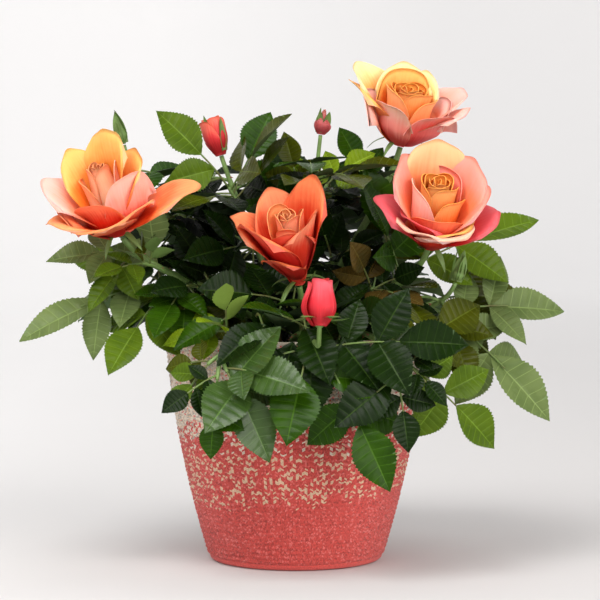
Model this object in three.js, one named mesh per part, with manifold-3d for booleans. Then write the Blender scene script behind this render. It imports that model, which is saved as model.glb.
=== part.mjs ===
// A potted patio rose: a leafy bush with four open blooms and five buds, growing in a woven basket pot.
// Lengths are in millimetres and angles in degrees.
// +Z is up, +X is the viewer's right and -Y is the side that faces the viewer.
// The origin is the centre of the pot's flat underside.

import * as THREE from 'three';
import { mergeVertices } from 'three/addons/utils/BufferGeometryUtils.js';
import Module from 'manifold-3d';

const wasm = await Module();
wasm.setup();

// Gap between pieces that touch
const SEAT_GAP = 0.3;

// Pot and soil
const POT_HEIGHT = 131.5;
const RIM_RADIUS = 75;
const FOOT_RADIUS = 50.5;
const FOOT_HEIGHT = 3.5;
const FLAT_RADIUS = 46;
const BELLY_RADIUS = 71;
const BELLY_HEIGHT = 72;
const WALL_THICK = 3.4;
const FLOOR_THICK = 4;
const POT_SIDES = 32;
const WALL_STEPS = 4;
const SOIL_TOP = 113;

// Canes and twigs
const CANE_SIDES = 5;
const CANE_STEPS = 6;
const CANE_RISE = 0.42;
const CANE_ARRIVE = 0.36;
const TWIG_SIDES = 3;
const TWIG_STEPS = 3;
const TWIG_RADIUS = 1.3;
const TWIG_TAPER = 0.8;
const TWIG_SAG = 0.22;
const TWIG_SHORTEST = 6;
const TWIG_SHIFTS = [0, 0.04, -0.04, 0.08, -0.08, 0.12, -0.12];
const AIM_ROUNDS = 8;
const WIRE_STEP = 2;

// Leaves: one leaf is a stalk with an end leaflet and two side pairs, all sized from the end leaflet
const LEAF_HALF_WIDTH = 0.31;
const LEAF_THICK = 1.2;
const LEAF_CURVE = 0.13;
const LEAF_FOLD = 0.16;
const LEAF_ROWS = [0.25, 0.65];
const RIB_PLACE = 0.42;
const STALK_RADIUS = 0.9;
const STALK_DROOP = 0.3;
const STALK_SINK = 1.2;
const PAIR_SPLAY = 64;
const SPLAY_SPREAD = 7;
const FEWEST_LEAFLETS = 3;
const MOST_LEAVES = 3;

// Side leaves on a twig: how far they stand out from it, how each is smaller than the one beyond it, and
// how far single leaves stray from that
const SIDE_SPLAY = 58;
const SIDE_SPREAD = 10;
const SIDE_SHRINK = 0.08;
const SIZE_SPREAD = 0.06;
const LOOK_SPREAD = 0.2;
const SIDE_LOOSE = 5;

// The stalk by number of side pairs: its length against the end leaflet, its nodes and the pairs' sizes
const STALKS = [
  null,
  { length: 0.72, nodes: [0, 0.56, 1], shares: [0.86] },
  { length: 1.15, nodes: [0, 0.36, 0.75, 1], shares: [0.72, 0.88] },
];

// Clearances that a growing leaf keeps, the other ways it tries to lie (swing and pitch), and what a
// degree of turn or a full cane of shift costs against one more leaflet
const LEAF_GAP = 1.9;
const LIMB_GAP = 1.3;
const WALL_GAP = 2;
const SAMPLE_ROWS = 8;
const LIMB_SAMPLES = 18;
const LEAF_TRIES = [[0, 0], [10, 8], [-10, -8], [10, -12], [-14, 10], [24, 0], [-24, 4], [4, 26], [-4, -26]];
const TRY_COST = 1 / 14;
const SHIFT_COST = 4;
const LEAFLET_TRIES = [[0, 0], [0, 14], [0, -16], [-12, 0], [-8, 28], [-8, -30]];

// Petals
const PETAL_THICK = 1.5;
const PETAL_ROWS = 3;
const PETAL_COLUMNS = 3;
const PROFILE_STEPS = 24;
const PETAL_ROOT = 2.4;
const HIP_RADIUS = 3.6;
const HIP_LENGTH = 6;
const STEM_RADIUS = 1.5;
const SEPAL_COUNT = 5;

// Canes: name, foot on the soil (x, y), tip (x, y, z), bearing and lift at the tip, radius at foot and tip
const CANES = [
  ['left_bloom_cane', [-16, -8], [-97, -40, 187], 205, 52, 2.7, 1.6],
  ['middle_bloom_cane', [2, -18], [2, -46, 160], -110, 64, 2.5, 1.6],
  ['top_bloom_cane', [13, 8], [60, 8, 237], 0, 74, 2.9, 1.6],
  ['right_bloom_cane', [20, -12], [74, -38, 181], -60, 62, 2.6, 1.6],
  ['front_bud_cane', [-4, -32], [12, -93, 131], -78, -10, 2.0, 1.5],
  ['front_left_cane', [-18, -26], [-42, -90, 122], -112, -46, 2.0, 1.4],
  ['front_right_cane', [18, -27], [54, -86, 122], -56, -46, 2.0, 1.4],
  ['red_bud_cane', [-10, 6], [-43, 8, 232], 170, 72, 2.4, 1.3],
  ['small_bud_cane', [3, 3], [14, -2, 244], 0, 84, 2.3, 1.1],
  ['left_bud_cane', [-20, 14], [-100, 24, 238], 185, 76, 2.4, 1.1],
  ['right_bud_cane', [28, 4], [90, -28, 161], -20, 68, 2.2, 1.2],
  ['back_left_cane', [-12, 26], [-52, 66, 190], 125, 52, 2.6, 1.4],
  ['back_cane', [4, 24], [8, 58, 210], 95, 66, 2.6, 1.4],
  ['back_right_cane', [20, 22], [72, 56, 186], 42, 50, 2.6, 1.4],
].map(([name, foot, tip, bearing, lift, thick, thin]) => ({ name, foot, tip, bearing, lift, thick, thin }));

// Open blooms. The axis heads along bearing and lift, and the room is an egg that holds the whole bloom:
// how wide, how tall and how high its centre stands. A petal is: turn about the axis, length, width,
// opening at its root, middle and edge, and how closely it wraps the axis.
const BLOOMS = [
  {
    name: 'left_bloom', cane: 'left_bloom_cane', bearing: -132, lift: 60, heart: 30, room: [42, 27, 24],
    petals: [
      [70, 54, 44, 34, 14, 20, 0.8], [122, 49, 36, 34, 16, 30, 0.8], [170, 46, 38, 58, 38, 40, 0.7],
      [-152, 42, 40, 62, 42, 48, 0.7], [-104, 42, 42, 66, 42, 50, 0.7], [-54, 44, 40, 66, 44, 50, 0.7],
      [-8, 57, 38, 70, 58, 72, 0.55],
    ],
  },
  {
    name: 'middle_bloom', cane: 'middle_bloom_cane', bearing: -112, lift: 64, heart: 33, room: [28, 32, 26],
    petals: [
      [42, 56, 40, 40, 18, 16, 0.85], [102, 50, 36, 40, 20, 24, 0.85], [165, 50, 34, 44, 28, 40, 0.8],
      [-138, 50, 38, 40, 24, 30, 0.85], [-84, 46, 40, 36, 18, 20, 0.9], [-26, 50, 40, 36, 18, 16, 0.9],
    ],
  },
  {
    name: 'top_bloom', cane: 'top_bloom_cane', bearing: -70, lift: 76, heart: 30, room: [36, 24, 22],
    petals: [
      [88, 42, 44, 48, 20, 18, 0.8], [138, 44, 42, 54, 32, 36, 0.75], [-168, 45, 42, 60, 38, 44, 0.75],
      [-122, 38, 42, 62, 34, 36, 0.75], [-62, 37, 42, 62, 34, 36, 0.75], [-10, 47, 40, 66, 52, 62, 0.65],
      [36, 45, 38, 56, 36, 44, 0.7],
    ],
  },
  {
    name: 'right_bloom', cane: 'right_bloom_cane', bearing: -78, lift: 52, heart: 30, room: [33, 27, 22],
    petals: [
      [52, 48, 46, 44, 24, 34, 0.8], [100, 47, 44, 40, 22, 34, 0.8], [148, 45, 42, 44, 26, 40, 0.8],
      [-164, 41, 30, 66, 54, 74, 0.65], [-108, 39, 44, 64, 40, 42, 0.75], [-60, 39, 42, 64, 42, 48, 0.75],
      [-14, 37, 34, 66, 48, 62, 0.65],
    ],
  },
];

// Buds: name, cane, bearing, lift, neck below the bud, length, radius, sepal length, sepal spread
const BUDS = [
  ['front_bud', 'front_bud_cane', 75, 80, 11, 25, 9, 12, 66],
  ['red_bud', 'red_bud_cane', 165, 74, 0, 21, 7, 15, 14],
  ['small_bud', 'small_bud_cane', 10, 80, 0, 14, 4.6, 13, 10],
  ['left_bud', 'left_bud_cane', 190, 76, 0, 14, 4.2, 19, 4],
  ['right_bud', 'right_bud_cane', 0, 74, 0, 9, 5, 13, 48],
].map(([name, cane, bearing, lift, neck, length, radius, sepal, spread]) => (
  { name, cane, bearing, lift, neck, length, radius, sepal, spread }));

// Foliage masses: name, cane, fraction of the cane where the twig starts, place that the end leaflet's
// tip reaches, leaves, side pairs on each, length of the end leaflet, bearing and tilt that the leaves face
const MASSES = [
  ['far_left_foliage', 'left_bloom_cane', 0.55, [-155, -45, 131], 3, 2, 48, -100, 50],
  ['left_upper_foliage', 'left_bloom_cane', 0.8, [-141, -30, 174], 2, 1, 30, -110, 42],
  ['left_under_foliage', 'left_bloom_cane', 0.6, [-112, -62, 166], 2, 1, 30, -95, 50],
  ['left_front_foliage', 'left_bloom_cane', 0.6, [-78, -72, 133], 2, 1, 36, -100, 40],
  ['left_inner_foliage', 'left_bloom_cane', 0.42, [-80, -62, 158], 2, 1, 36, -95, 30],
  ['left_dark_foliage', 'red_bud_cane', 0.5, [-63, -45, 175], 2, 1, 38, -80, 20],
  ['top_left_foliage', 'red_bud_cane', 0.7, [-80, -6, 258], 2, 1, 36, -80, 25],
  ['top_middle_foliage', 'small_bud_cane', 0.5, [-7, 5, 246], 3, 1, 36, -85, 5],
  ['top_right_foliage', 'top_bloom_cane', 0.66, [34, 8, 252], 2, 1, 26, -85, 20],
  ['bright_foliage', 'small_bud_cane', 0.62, [39, 15, 239], 2, 1, 28, -95, 25],
  ['dark_middle_foliage', 'top_bloom_cane', 0.34, [9, -24, 205], 3, 1, 36, -85, 20],
  ['right_upper_foliage', 'right_bloom_cane', 0.56, [140, 8, 196], 2, 2, 42, -90, 45],
  ['right_back_foliage', 'right_bud_cane', 0.6, [138, 25, 147], 2, 1, 36, -70, 35],
  ['far_right_foliage', 'right_bud_cane', 0.74, [144, -35, 84], 2, 2, 44, -75, 28],
  ['right_low_foliage', 'right_bud_cane', 0.84, [97, -50, 104], 2, 1, 36, -85, 20],
  ['right_front_low_foliage', 'front_right_cane', 0.93, [110, -64, 71], 2, 2, 40, -80, 30],
  ['right_rim_foliage', 'front_right_cane', 0.97, [61, -98, 73], 2, 1, 34, -85, 25],
  ['front_right_foliage', 'front_right_cane', 0.85, [82, -94, 98], 2, 1, 40, -88, 35],
  ['front_middle_foliage', 'front_bud_cane', 0.86, [-4, -112, 84], 2, 1, 30, -90, 15],
  ['front_low_foliage', 'front_bud_cane', 0.96, [51, -105, 53], 2, 2, 40, -88, 20],
  ['front_left_low_foliage', 'front_left_cane', 0.96, [-46, -102, 70], 2, 2, 36, -95, 20],
  ['front_left_foliage', 'front_left_cane', 0.88, [-22, -104, 70], 2, 1, 34, -88, 30],
  ['front_left_upper_foliage', 'front_left_cane', 0.84, [-68, -92, 92], 2, 1, 36, -105, 30],
  ['left_rim_foliage', 'front_left_cane', 0.6, [-74, -62, 128], 2, 1, 30, -110, 40],
  ['middle_left_foliage', 'middle_bloom_cane', 0.6, [-50, -64, 168], 2, 1, 36, -95, 25],
  ['middle_right_foliage', 'middle_bloom_cane', 0.42, [59, -68, 140], 3, 1, 38, -85, 35],
  ['bronze_foliage', 'right_bloom_cane', 0.5, [30, -62, 176], 3, 1, 32, -85, 25],
  ['back_left_low_foliage', 'back_left_cane', 0.45, [-130, 55, 135], 2, 2, 42, 150, 40],
  ['back_left_high_foliage', 'back_left_cane', 0.78, [-100, 100, 196], 2, 1, 40, 130, 45],
  ['back_left_foliage', 'left_bud_cane', 0.62, [-128, 52, 195], 2, 1, 38, 160, 40],
  ['back_low_foliage', 'back_cane', 0.42, [-20, 138, 128], 2, 2, 44, 90, 35],
  ['back_middle_foliage', 'back_cane', 0.66, [30, 122, 188], 3, 1, 38, 80, 40],
  ['back_high_foliage', 'back_cane', 0.78, [4, 98, 226], 2, 1, 38, 85, 40],
  ['back_right_low_foliage', 'back_right_cane', 0.45, [122, 72, 125], 2, 2, 42, 35, 38],
  ['back_right_high_foliage', 'back_right_cane', 0.78, [104, 96, 196], 2, 1, 40, 50, 45],
].map(([name, cane, at, tip, leaves, pairs, size, look, tilt]) => (
  { name, cane, at, tip, leaves, pairs, size, look, tilt }));

const BUSH = new THREE.Group();
const UP = new THREE.Vector3(0, 0, 1);

function rad(degrees) {
  return THREE.MathUtils.degToRad(degrees);
}

function heading(bearing, lift) {
  const level = Math.cos(rad(lift));
  const turn = rad(bearing);
  return new THREE.Vector3(level * Math.cos(turn), level * Math.sin(turn), Math.sin(rad(lift)));
}

// A repeatable number from -1 to 1 for each pair of whole numbers
function jitter(first, second) {
  const wave = Math.sin(first * 12.9898 + second * 78.233) * 43758.5453;
  return 2 * (wave - Math.floor(wave)) - 1;
}

function along(start, direction, distance) {
  return start.clone().addScaledVector(direction, distance);
}

// The part of a vector that is square to a unit axis, at unit length
function squareTo(vector, axis) {
  return along(vector, axis, -vector.dot(axis)).normalize();
}

function swung(direction, axis, degrees) {
  return direction.clone().applyAxisAngle(axis, rad(degrees));
}

function directionAt(points, i) {
  const before = points[Math.max(i - 1, 0)];
  const after = points[Math.min(i + 1, points.length - 1)];
  return new THREE.Vector3().subVectors(after, before).normalize();
}

function pointOn(points, fraction) {
  const place = fraction * (points.length - 1);
  const i = Math.min(Math.floor(place), points.length - 2);
  return points[i].clone().lerp(points[i + 1], place - i);
}

// Solids

function solidOf(geometry) {
  const bare = geometry.clone();
  bare.deleteAttribute('normal');
  bare.deleteAttribute('uv');
  const merged = mergeVertices(bare, 1e-4);
  const corners = merged.index.array;
  const faces = [];
  for (let i = 0; i < corners.length; i += 3) {
    const [a, b, c] = [corners[i], corners[i + 1], corners[i + 2]];
    if (a !== b && b !== c && c !== a) faces.push(a, b, c);
  }
  const mesh = new wasm.Mesh({
    numProp: 3,
    vertProperties: new Float32Array(merged.attributes.position.array),
    triVerts: new Uint32Array(faces),
  });
  return new wasm.Manifold(mesh);
}

function solidFrom(points, faces) {
  const geometry = new THREE.BufferGeometry().setFromPoints(points);
  geometry.setIndex(faces);
  return solidOf(geometry);
}

// The largest body of a solid, without loose scraps
function mainBody(solid) {
  return solid.decompose().reduce((best, body) => (body.volume() > best.volume() ? body : best));
}

function fuse(solids) {
  return mainBody(solids.reduce((whole, solid) => whole.add(solid)));
}

function addMesh(name, solid, color, roughness) {
  const made = solid.getMesh();
  const geometry = new THREE.BufferGeometry();
  geometry.setAttribute('position', new THREE.BufferAttribute(new Float32Array(made.vertProperties), 3));
  geometry.setIndex(new THREE.BufferAttribute(new Uint32Array(made.triVerts), 1));
  geometry.computeVertexNormals();
  const mesh = new THREE.Mesh(geometry, new THREE.MeshStandardMaterial({ color, roughness, metalness: 0 }));
  mesh.name = name;
  BUSH.add(mesh);
}

// A tapering round limb through points, closed at both ends
function limb(points, startRadius, endRadius, sides, footWay = directionAt(points, 0)) {
  const rings = [];
  let side = squareTo(new THREE.Vector3(0.31, 0.87, 0.38), footWay);
  points.forEach((point, i) => {
    const ahead = i === 0 ? footWay : directionAt(points, i);
    side = squareTo(side, ahead);
    const across = new THREE.Vector3().crossVectors(ahead, side);
    const radius = THREE.MathUtils.lerp(startRadius, endRadius, i / (points.length - 1));
    for (let k = 0; k < sides; k += 1) {
      const turn = (2 * Math.PI * k) / sides;
      rings.push(along(along(point, side, radius * Math.cos(turn)), across, radius * Math.sin(turn)));
    }
  });
  const faces = [];
  for (let i = 0; i < points.length - 1; i += 1) {
    for (let k = 0; k < sides; k += 1) {
      const a = i * sides + k;
      const b = i * sides + ((k + 1) % sides);
      faces.push(a, b, b + sides, a, b + sides, a + sides);
    }
  }
  const last = (points.length - 1) * sides;
  for (let k = 1; k < sides - 1; k += 1) {
    faces.push(0, k + 1, k, last, last + k, last + k + 1);
  }
  return solidFrom(rings, faces);
}

function turned(profile, sides) {
  const outline = profile.map(([radius, height]) => new THREE.Vector2(radius, height));
  return solidOf(new THREE.LatheGeometry(outline, sides).rotateX(Math.PI / 2));
}

// Pot: a basket wall that bellies slightly between its foot and rim, with a rounded foot and rim

function wallRadius(height) {
  const drop = FOOT_HEIGHT - height;
  const bow = POT_HEIGHT - 2 * BELLY_HEIGHT + FOOT_HEIGHT;
  const rise = 2 * (BELLY_HEIGHT - FOOT_HEIGHT);
  const t = (Math.sqrt(rise * rise - 4 * bow * drop) - rise) / (2 * bow);
  return (1 - t) ** 2 * FOOT_RADIUS + 2 * t * (1 - t) * BELLY_RADIUS + t * t * RIM_RADIUS;
}

function potProfile() {
  const outline = [[0, 0], [FLAT_RADIUS, 0], [FOOT_RADIUS - 1.2, 1]];
  const shoulder = POT_HEIGHT - WALL_THICK / 2;
  for (let i = 0; i <= WALL_STEPS; i += 1) {
    const height = THREE.MathUtils.lerp(FOOT_HEIGHT, shoulder, i / WALL_STEPS);
    outline.push([wallRadius(height), height]);
  }
  outline.push([RIM_RADIUS - WALL_THICK / 2, POT_HEIGHT]);
  for (const part of [1, 0.5, 0]) {
    const height = THREE.MathUtils.lerp(FLOOR_THICK, shoulder, part);
    outline.push([wallRadius(height) - WALL_THICK, height]);
  }
  outline.push([0, FLOOR_THICK]);
  return outline;
}

function soilProfile() {
  const foot = FLOOR_THICK + SEAT_GAP;
  const outline = [[0, foot]];
  for (const part of [0, 0.5, 1]) {
    const height = THREE.MathUtils.lerp(foot, SOIL_TOP, part);
    outline.push([wallRadius(height) - WALL_THICK - 1.2, height]);
  }
  outline.push([0, SOIL_TOP]);
  return outline;
}

// Canes

function bend(cane) {
  const foot = new THREE.Vector3(cane.foot[0], cane.foot[1], SOIL_TOP + SEAT_GAP);
  const tip = new THREE.Vector3(...cane.tip);
  const span = foot.distanceTo(tip);
  const rise = along(foot, UP, span * CANE_RISE);
  const arrive = along(tip, heading(cane.bearing, cane.lift), -span * CANE_ARRIVE);
  return new THREE.CubicBezierCurve3(foot, rise, arrive, tip);
}

function caneNamed(name) {
  return CANES.find((cane) => cane.name === name);
}

// The space of a cane with the gap that its twigs keep to it, all round and past its tip
function caneSpace(cane) {
  const gap = SEAT_GAP / Math.cos(Math.PI / CANE_SIDES);
  const path = bend(cane).getPoints(CANE_STEPS);
  path.push(along(path[CANE_STEPS], heading(cane.bearing, cane.lift), gap));
  return limb(path, cane.thick + gap, cane.thin + gap, CANE_SIDES, UP);
}

// What a growing leaf has to keep clear of: the blades and limbs so far, and the rooms of blooms and buds

const blades = [];
const wires = [];
const rooms = [];

function layWire(points, startRadius, endRadius, mass, leaf) {
  for (let i = 0; i < points.length - 1; i += 1) {
    const steps = Math.ceil(points[i].distanceTo(points[i + 1]) / WIRE_STEP);
    for (let k = 0; k < steps; k += 1) {
      const part = (k + 0.5) / steps;
      const point = points[i].clone().lerp(points[i + 1], part);
      const radius = THREE.MathUtils.lerp(startRadius, endRadius, (i + part) / (points.length - 1));
      wires.push({ point, radius, mass, leaf });
    }
  }
}

function bladeWidth(t) {
  return Math.sin(Math.PI * Math.min(Math.max(t, 0), 1) ** 0.9);
}

// A point of a blade: a fraction t along it and a fraction v of its half width out from the midrib
function bladePoint(blade, t, v) {
  const out = v * bladeWidth(t) * blade.size * LEAF_HALF_WIDTH;
  const lift = LEAF_FOLD * Math.abs(out) - LEAF_CURVE * blade.size * t * t;
  return along(along(along(blade.base, blade.ahead, t * blade.size), blade.across, out), blade.face, lift);
}

function makeBlade(base, ahead, face, size, mass, leaf) {
  const blade = { base, ahead, face: squareTo(face, ahead), size, mass, leaf, samples: [] };
  blade.across = new THREE.Vector3().crossVectors(blade.face, ahead);
  blade.middle = bladePoint(blade, 0.5, 0);
  for (let row = 1; row <= SAMPLE_ROWS; row += 1) {
    for (const v of [-1, -0.5, 0, 0.5, 1]) blade.samples.push(bladePoint(blade, row / SAMPLE_ROWS, v));
  }
  return blade;
}

function insideBlade(blade, point, gap) {
  const offset = new THREE.Vector3().subVectors(point, blade.base);
  const t = offset.dot(blade.ahead) / blade.size;
  if (t < -0.02 || t > 1 + 1 / blade.size) return false;
  const out = Math.abs(offset.dot(blade.across));
  if (out > bladeWidth(t) * blade.size * LEAF_HALF_WIDTH + 1.2) return false;
  const height = offset.dot(blade.face) + LEAF_CURVE * blade.size * t * t - LEAF_FOLD * out;
  return Math.abs(height) < gap;
}

function bladesCross(one, other) {
  if (one.middle.distanceTo(other.middle) > (one.size + other.size) / 2 + LEAF_GAP) return false;
  return one.samples.some((point) => insideBlade(other, point, LEAF_GAP))
    || other.samples.some((point) => insideBlade(one, point, LEAF_GAP));
}

function inRoom(point, gap) {
  return rooms.some((room) => {
    const offset = new THREE.Vector3().subVectors(point, room.centre);
    const height = offset.dot(room.axis);
    const out = Math.sqrt(Math.max(offset.lengthSq() - height * height, 0));
    return (height / (room.tall + gap)) ** 2 + (out / (room.wide + gap)) ** 2 < 1;
  });
}

function inPot(point, gap) {
  if (point.z < gap) return true;
  if (point.z > POT_HEIGHT + gap) return false;
  const out = Math.hypot(point.x, point.y);
  const outer = wallRadius(Math.min(Math.max(point.z, FOOT_HEIGHT), POT_HEIGHT));
  if (out > outer + gap) return false;
  return out > outer - WALL_THICK - gap || point.z < SOIL_TOP + gap;
}

function bladeIsClear(blade, siblings) {
  if (blade.samples.some((point) => inPot(point, WALL_GAP) || inRoom(point, LIMB_GAP))) return false;
  for (const wire of wires) {
    const reach = wire.radius + LIMB_GAP;
    if (wire.point.distanceTo(blade.middle) > blade.size * 0.6 + reach) continue;
    if (insideBlade(blade, wire.point, reach)) return false;
    if (blade.samples.some((point) => point.distanceTo(wire.point) < reach)) return false;
  }
  return !blades.some((other) => bladesCross(blade, other))
    && !siblings.some((other) => bladesCross(blade, other));
}

// A twig or stalk may pass close to what it grows from, so its first part is let near its own cane or mass.
function stalkIsClear(path, radius, mass, host) {
  const reach = radius + LIMB_GAP;
  for (let i = 1; i <= LIMB_SAMPLES; i += 1) {
    const point = pointOn(path, i / LIMB_SAMPLES);
    const near = i < LIMB_SAMPLES / 3;
    if (inPot(point, radius + WALL_GAP) || inRoom(point, reach)) return false;
    if (blades.some((blade) => insideBlade(blade, point, reach))) return false;
    for (const wire of wires) {
      const own = wire.mass === host ? near : wire.mass === mass && (near || wire.leaf === null);
      if (!own && wire.point.distanceTo(point) < wire.radius + reach) return false;
    }
  }
  return true;
}

// Leaves

function stalkPath(base, ahead, size, pairs) {
  const { length, nodes } = STALKS[pairs];
  const points = [base];
  for (let i = 1; i < nodes.length; i += 1) {
    const way = along(ahead, UP, -STALK_DROOP * nodes[i]).normalize();
    points.push(along(points[i - 1], way, (nodes[i] - nodes[i - 1]) * length * size));
  }
  return points;
}

// A leaflet in the first way of lying that is clear
function growBlade(base, ahead, face, size, mass, leaf, siblings) {
  const across = new THREE.Vector3().crossVectors(face, ahead).normalize();
  for (const [swing, pitch] of LEAFLET_TRIES) {
    const way = swung(swung(ahead, across, pitch), face, swing);
    const blade = makeBlade(base, way, swung(face, across, pitch), size, mass, leaf);
    if (bladeIsClear(blade, siblings)) return blade;
  }
  return null;
}

// Slots are the end leaflet, then left and right of each pair; an empty slot is null.
function growSlots(path, look, size, mass, leaf) {
  const last = path.length - 1;
  const end = directionAt(path, last);
  const face = squareTo(look, end);
  const grown = [];
  const slots = [growBlade(path[last], end, face, size, mass, leaf, grown)];
  if (slots[0]) grown.push(slots[0]);
  STALKS[path.length - 2].shares.forEach((share, pair) => {
    const node = path[pair + 1];
    const ahead = directionAt(path, pair + 1);
    const up = squareTo(look, ahead);
    for (const side of [1, -1]) {
      const splay = side * (PAIR_SPLAY + SPLAY_SPREAD * jitter(leaf, 10 * pair + side + 3));
      const blade = growBlade(node, swung(ahead, up, splay), up, size * share, mass, leaf, grown);
      slots.push(blade);
      if (blade) grown.push(blade);
    }
  });
  return { path, slots, grown, look };
}

// One closed leaf: a four-edged stalk whose side edges open at each node into the rims of its leaflets
function leafSolid({ path, slots, look }) {
  const points = [];
  const faces = [];
  const add = (point) => points.push(point) - 1;
  const nodes = path.map((node, i) => {
    const ahead = directionAt(path, i);
    const up = squareTo(look, ahead);
    const across = new THREE.Vector3().crossVectors(up, ahead);
    const half = i === 0 || i === path.length - 1 ? 0 : STALK_RADIUS * 1.2;
    const edge = (side, shift) => add(along(along(node, across, side * STALK_RADIUS), ahead, shift));
    const left = [edge(1, -half)];
    const right = [edge(-1, -half)];
    left.push(half > 0 ? edge(1, half) : left[0]);
    right.push(half > 0 ? edge(-1, half) : right[0]);
    const ridges = [add(along(node, up, STALK_RADIUS)), add(along(node, up, -STALK_RADIUS))];
    return { left, right, ridges };
  });
  // A face above the leaf, and its mirror below
  const both = (top, under) => {
    faces.push(...top, under[0], under[2], under[1]);
  };
  for (let i = 0; i < nodes.length - 1; i += 1) {
    const [a, b] = [nodes[i], nodes[i + 1]];
    const [top, under] = [0, 1].map((k) => [a.ridges[k], b.ridges[k]]);
    both([top[0], top[1], b.left[0]], [under[0], under[1], b.left[0]]);
    both([top[0], b.left[0], a.left[1]], [under[0], b.left[0], a.left[1]]);
    both([a.right[1], b.right[0], top[1]], [a.right[1], b.right[0], under[1]]);
    both([a.right[1], top[1], top[0]], [a.right[1], under[1], under[0]]);
  }
  const openInto = (blade, node, first, last) => {
    const rim = [first];
    for (const t of LEAF_ROWS) rim.push(add(bladePoint(blade, t, -1)));
    rim.push(add(bladePoint(blade, 1, 0)));
    for (const t of [...LEAF_ROWS].reverse()) rim.push(add(bladePoint(blade, t, 1)));
    rim.push(last);
    const rib = bladePoint(blade, RIB_PLACE, 0);
    const thick = Math.max(LEAF_THICK, blade.size / 40) / 2;
    const ribs = [add(along(rib, blade.face, thick)), add(along(rib, blade.face, -thick))];
    for (let i = 0; i < rim.length - 1; i += 1) {
      both([ribs[0], rim[i], rim[i + 1]], [ribs[1], rim[i], rim[i + 1]]);
    }
    both([ribs[0], node.ridges[0], first], [ribs[1], node.ridges[1], first]);
    both([ribs[0], last, node.ridges[0]], [ribs[1], last, node.ridges[1]]);
  };
  const close = (node, first, last) => {
    both([node.ridges[0], first, last], [node.ridges[1], first, last]);
  };
  const end = nodes[nodes.length - 1];
  if (slots[0]) openInto(slots[0], end, end.right[0], end.left[0]);
  else faces.push(end.ridges[0], end.right[0], end.ridges[1], end.ridges[0], end.ridges[1], end.left[0]);
  for (let pair = 0; pair < nodes.length - 2; pair += 1) {
    const node = nodes[pair + 1];
    const [leftBlade, rightBlade] = slots.slice(1 + 2 * pair, 3 + 2 * pair);
    if (leftBlade) openInto(leftBlade, node, node.left[1], node.left[0]);
    else close(node, node.left[1], node.left[0]);
    if (rightBlade) openInto(rightBlade, node, node.right[0], node.right[1]);
    else close(node, node.right[0], node.right[1]);
  }
  const [root] = nodes;
  faces.push(root.ridges[0], root.left[0], root.ridges[1], root.ridges[0], root.ridges[1], root.right[0]);
  return solidFrom(points, faces);
}

// A leaf keeps the way of lying that has the most leaflets clear and turns it the least.
function bestLeaf(base, ahead, look, size, pairs, mass, leaf, loose) {
  let best = null;
  const across = new THREE.Vector3().crossVectors(look, ahead).normalize();
  for (const [swing, pitch] of LEAF_TRIES) {
    const tipped = swung(ahead, across, pitch + loose * jitter(leaf, 1));
    const way = swung(tipped, look, swing + loose * jitter(leaf, 2));
    const path = stalkPath(along(base, way, -STALK_SINK), way, size, pairs);
    if (!stalkIsClear(path, STALK_RADIUS, mass, null)) continue;
    const grown = growSlots(path, look, size, mass, leaf);
    const turned = (Math.abs(swing) + Math.abs(pitch)) * TRY_COST;
    const score = grown.grown.length + (grown.slots[0] ? 1 : 0) - turned;
    if (grown.grown.length < Math.min(FEWEST_LEAFLETS, 2 * pairs)) continue;
    if (!best || score > best.score) best = { ...grown, score };
    if (swing === 0 && pitch === 0 && grown.grown.length === grown.slots.length) break;
  }
  return best;
}

function keepLeaf(grown, mass, leaf) {
  blades.push(...grown.grown);
  layWire(grown.path, STALK_RADIUS, STALK_RADIUS, mass, leaf);
  return leafSolid(grown);
}

// Foliage masses

function twigPath(start, aim, reach) {
  const points = [start];
  for (let i = 1; i <= TWIG_STEPS; i += 1) {
    const way = along(aim, UP, (-TWIG_SAG * i) / TWIG_STEPS).normalize();
    points.push(along(points[i - 1], way, reach / TWIG_STEPS));
  }
  return points;
}

// The twig is aimed and measured so that the end leaflet's tip comes to the named place.
function aimedTwig(row, at) {
  const cane = caneNamed(row.cane);
  const curve = bend(cane);
  const root = curve.getPoint(at);
  const caneRadius = THREE.MathUtils.lerp(cane.thick, cane.thin, at);
  const target = new THREE.Vector3(...row.tip);
  const look = heading(row.look, row.tilt);
  const share = 1 + STALKS[row.pairs].length;
  let { size } = row;
  let reach = root.distanceTo(target) - size * share;
  let aim = new THREE.Vector3().subVectors(target, root).normalize();
  let path = [];
  for (let round = 0; round < AIM_ROUNDS; round += 1) {
    if (reach < TWIG_SHORTEST) size += (reach - TWIG_SHORTEST) / share;
    reach = Math.max(reach, TWIG_SHORTEST);
    const lean = Math.abs(aim.dot(curve.getTangent(at)));
    const clear = (caneRadius + SEAT_GAP + TWIG_RADIUS * lean) / Math.sqrt(1 - lean * lean);
    path = twigPath(along(root, aim, clear), aim, reach);
    const way = directionAt(path, TWIG_STEPS);
    const stalk = stalkPath(along(path[TWIG_STEPS], way, -STALK_SINK), way, size, row.pairs);
    const end = directionAt(stalk, stalk.length - 1);
    const blade = { base: stalk[stalk.length - 1], ahead: end, across: UP, face: squareTo(look, end), size };
    const miss = new THREE.Vector3().subVectors(target, bladePoint(blade, 1, 0));
    reach += miss.dot(aim);
    aim = along(aim, miss, 1 / root.distanceTo(target)).normalize();
  }
  return { root, path, size };
}

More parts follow.
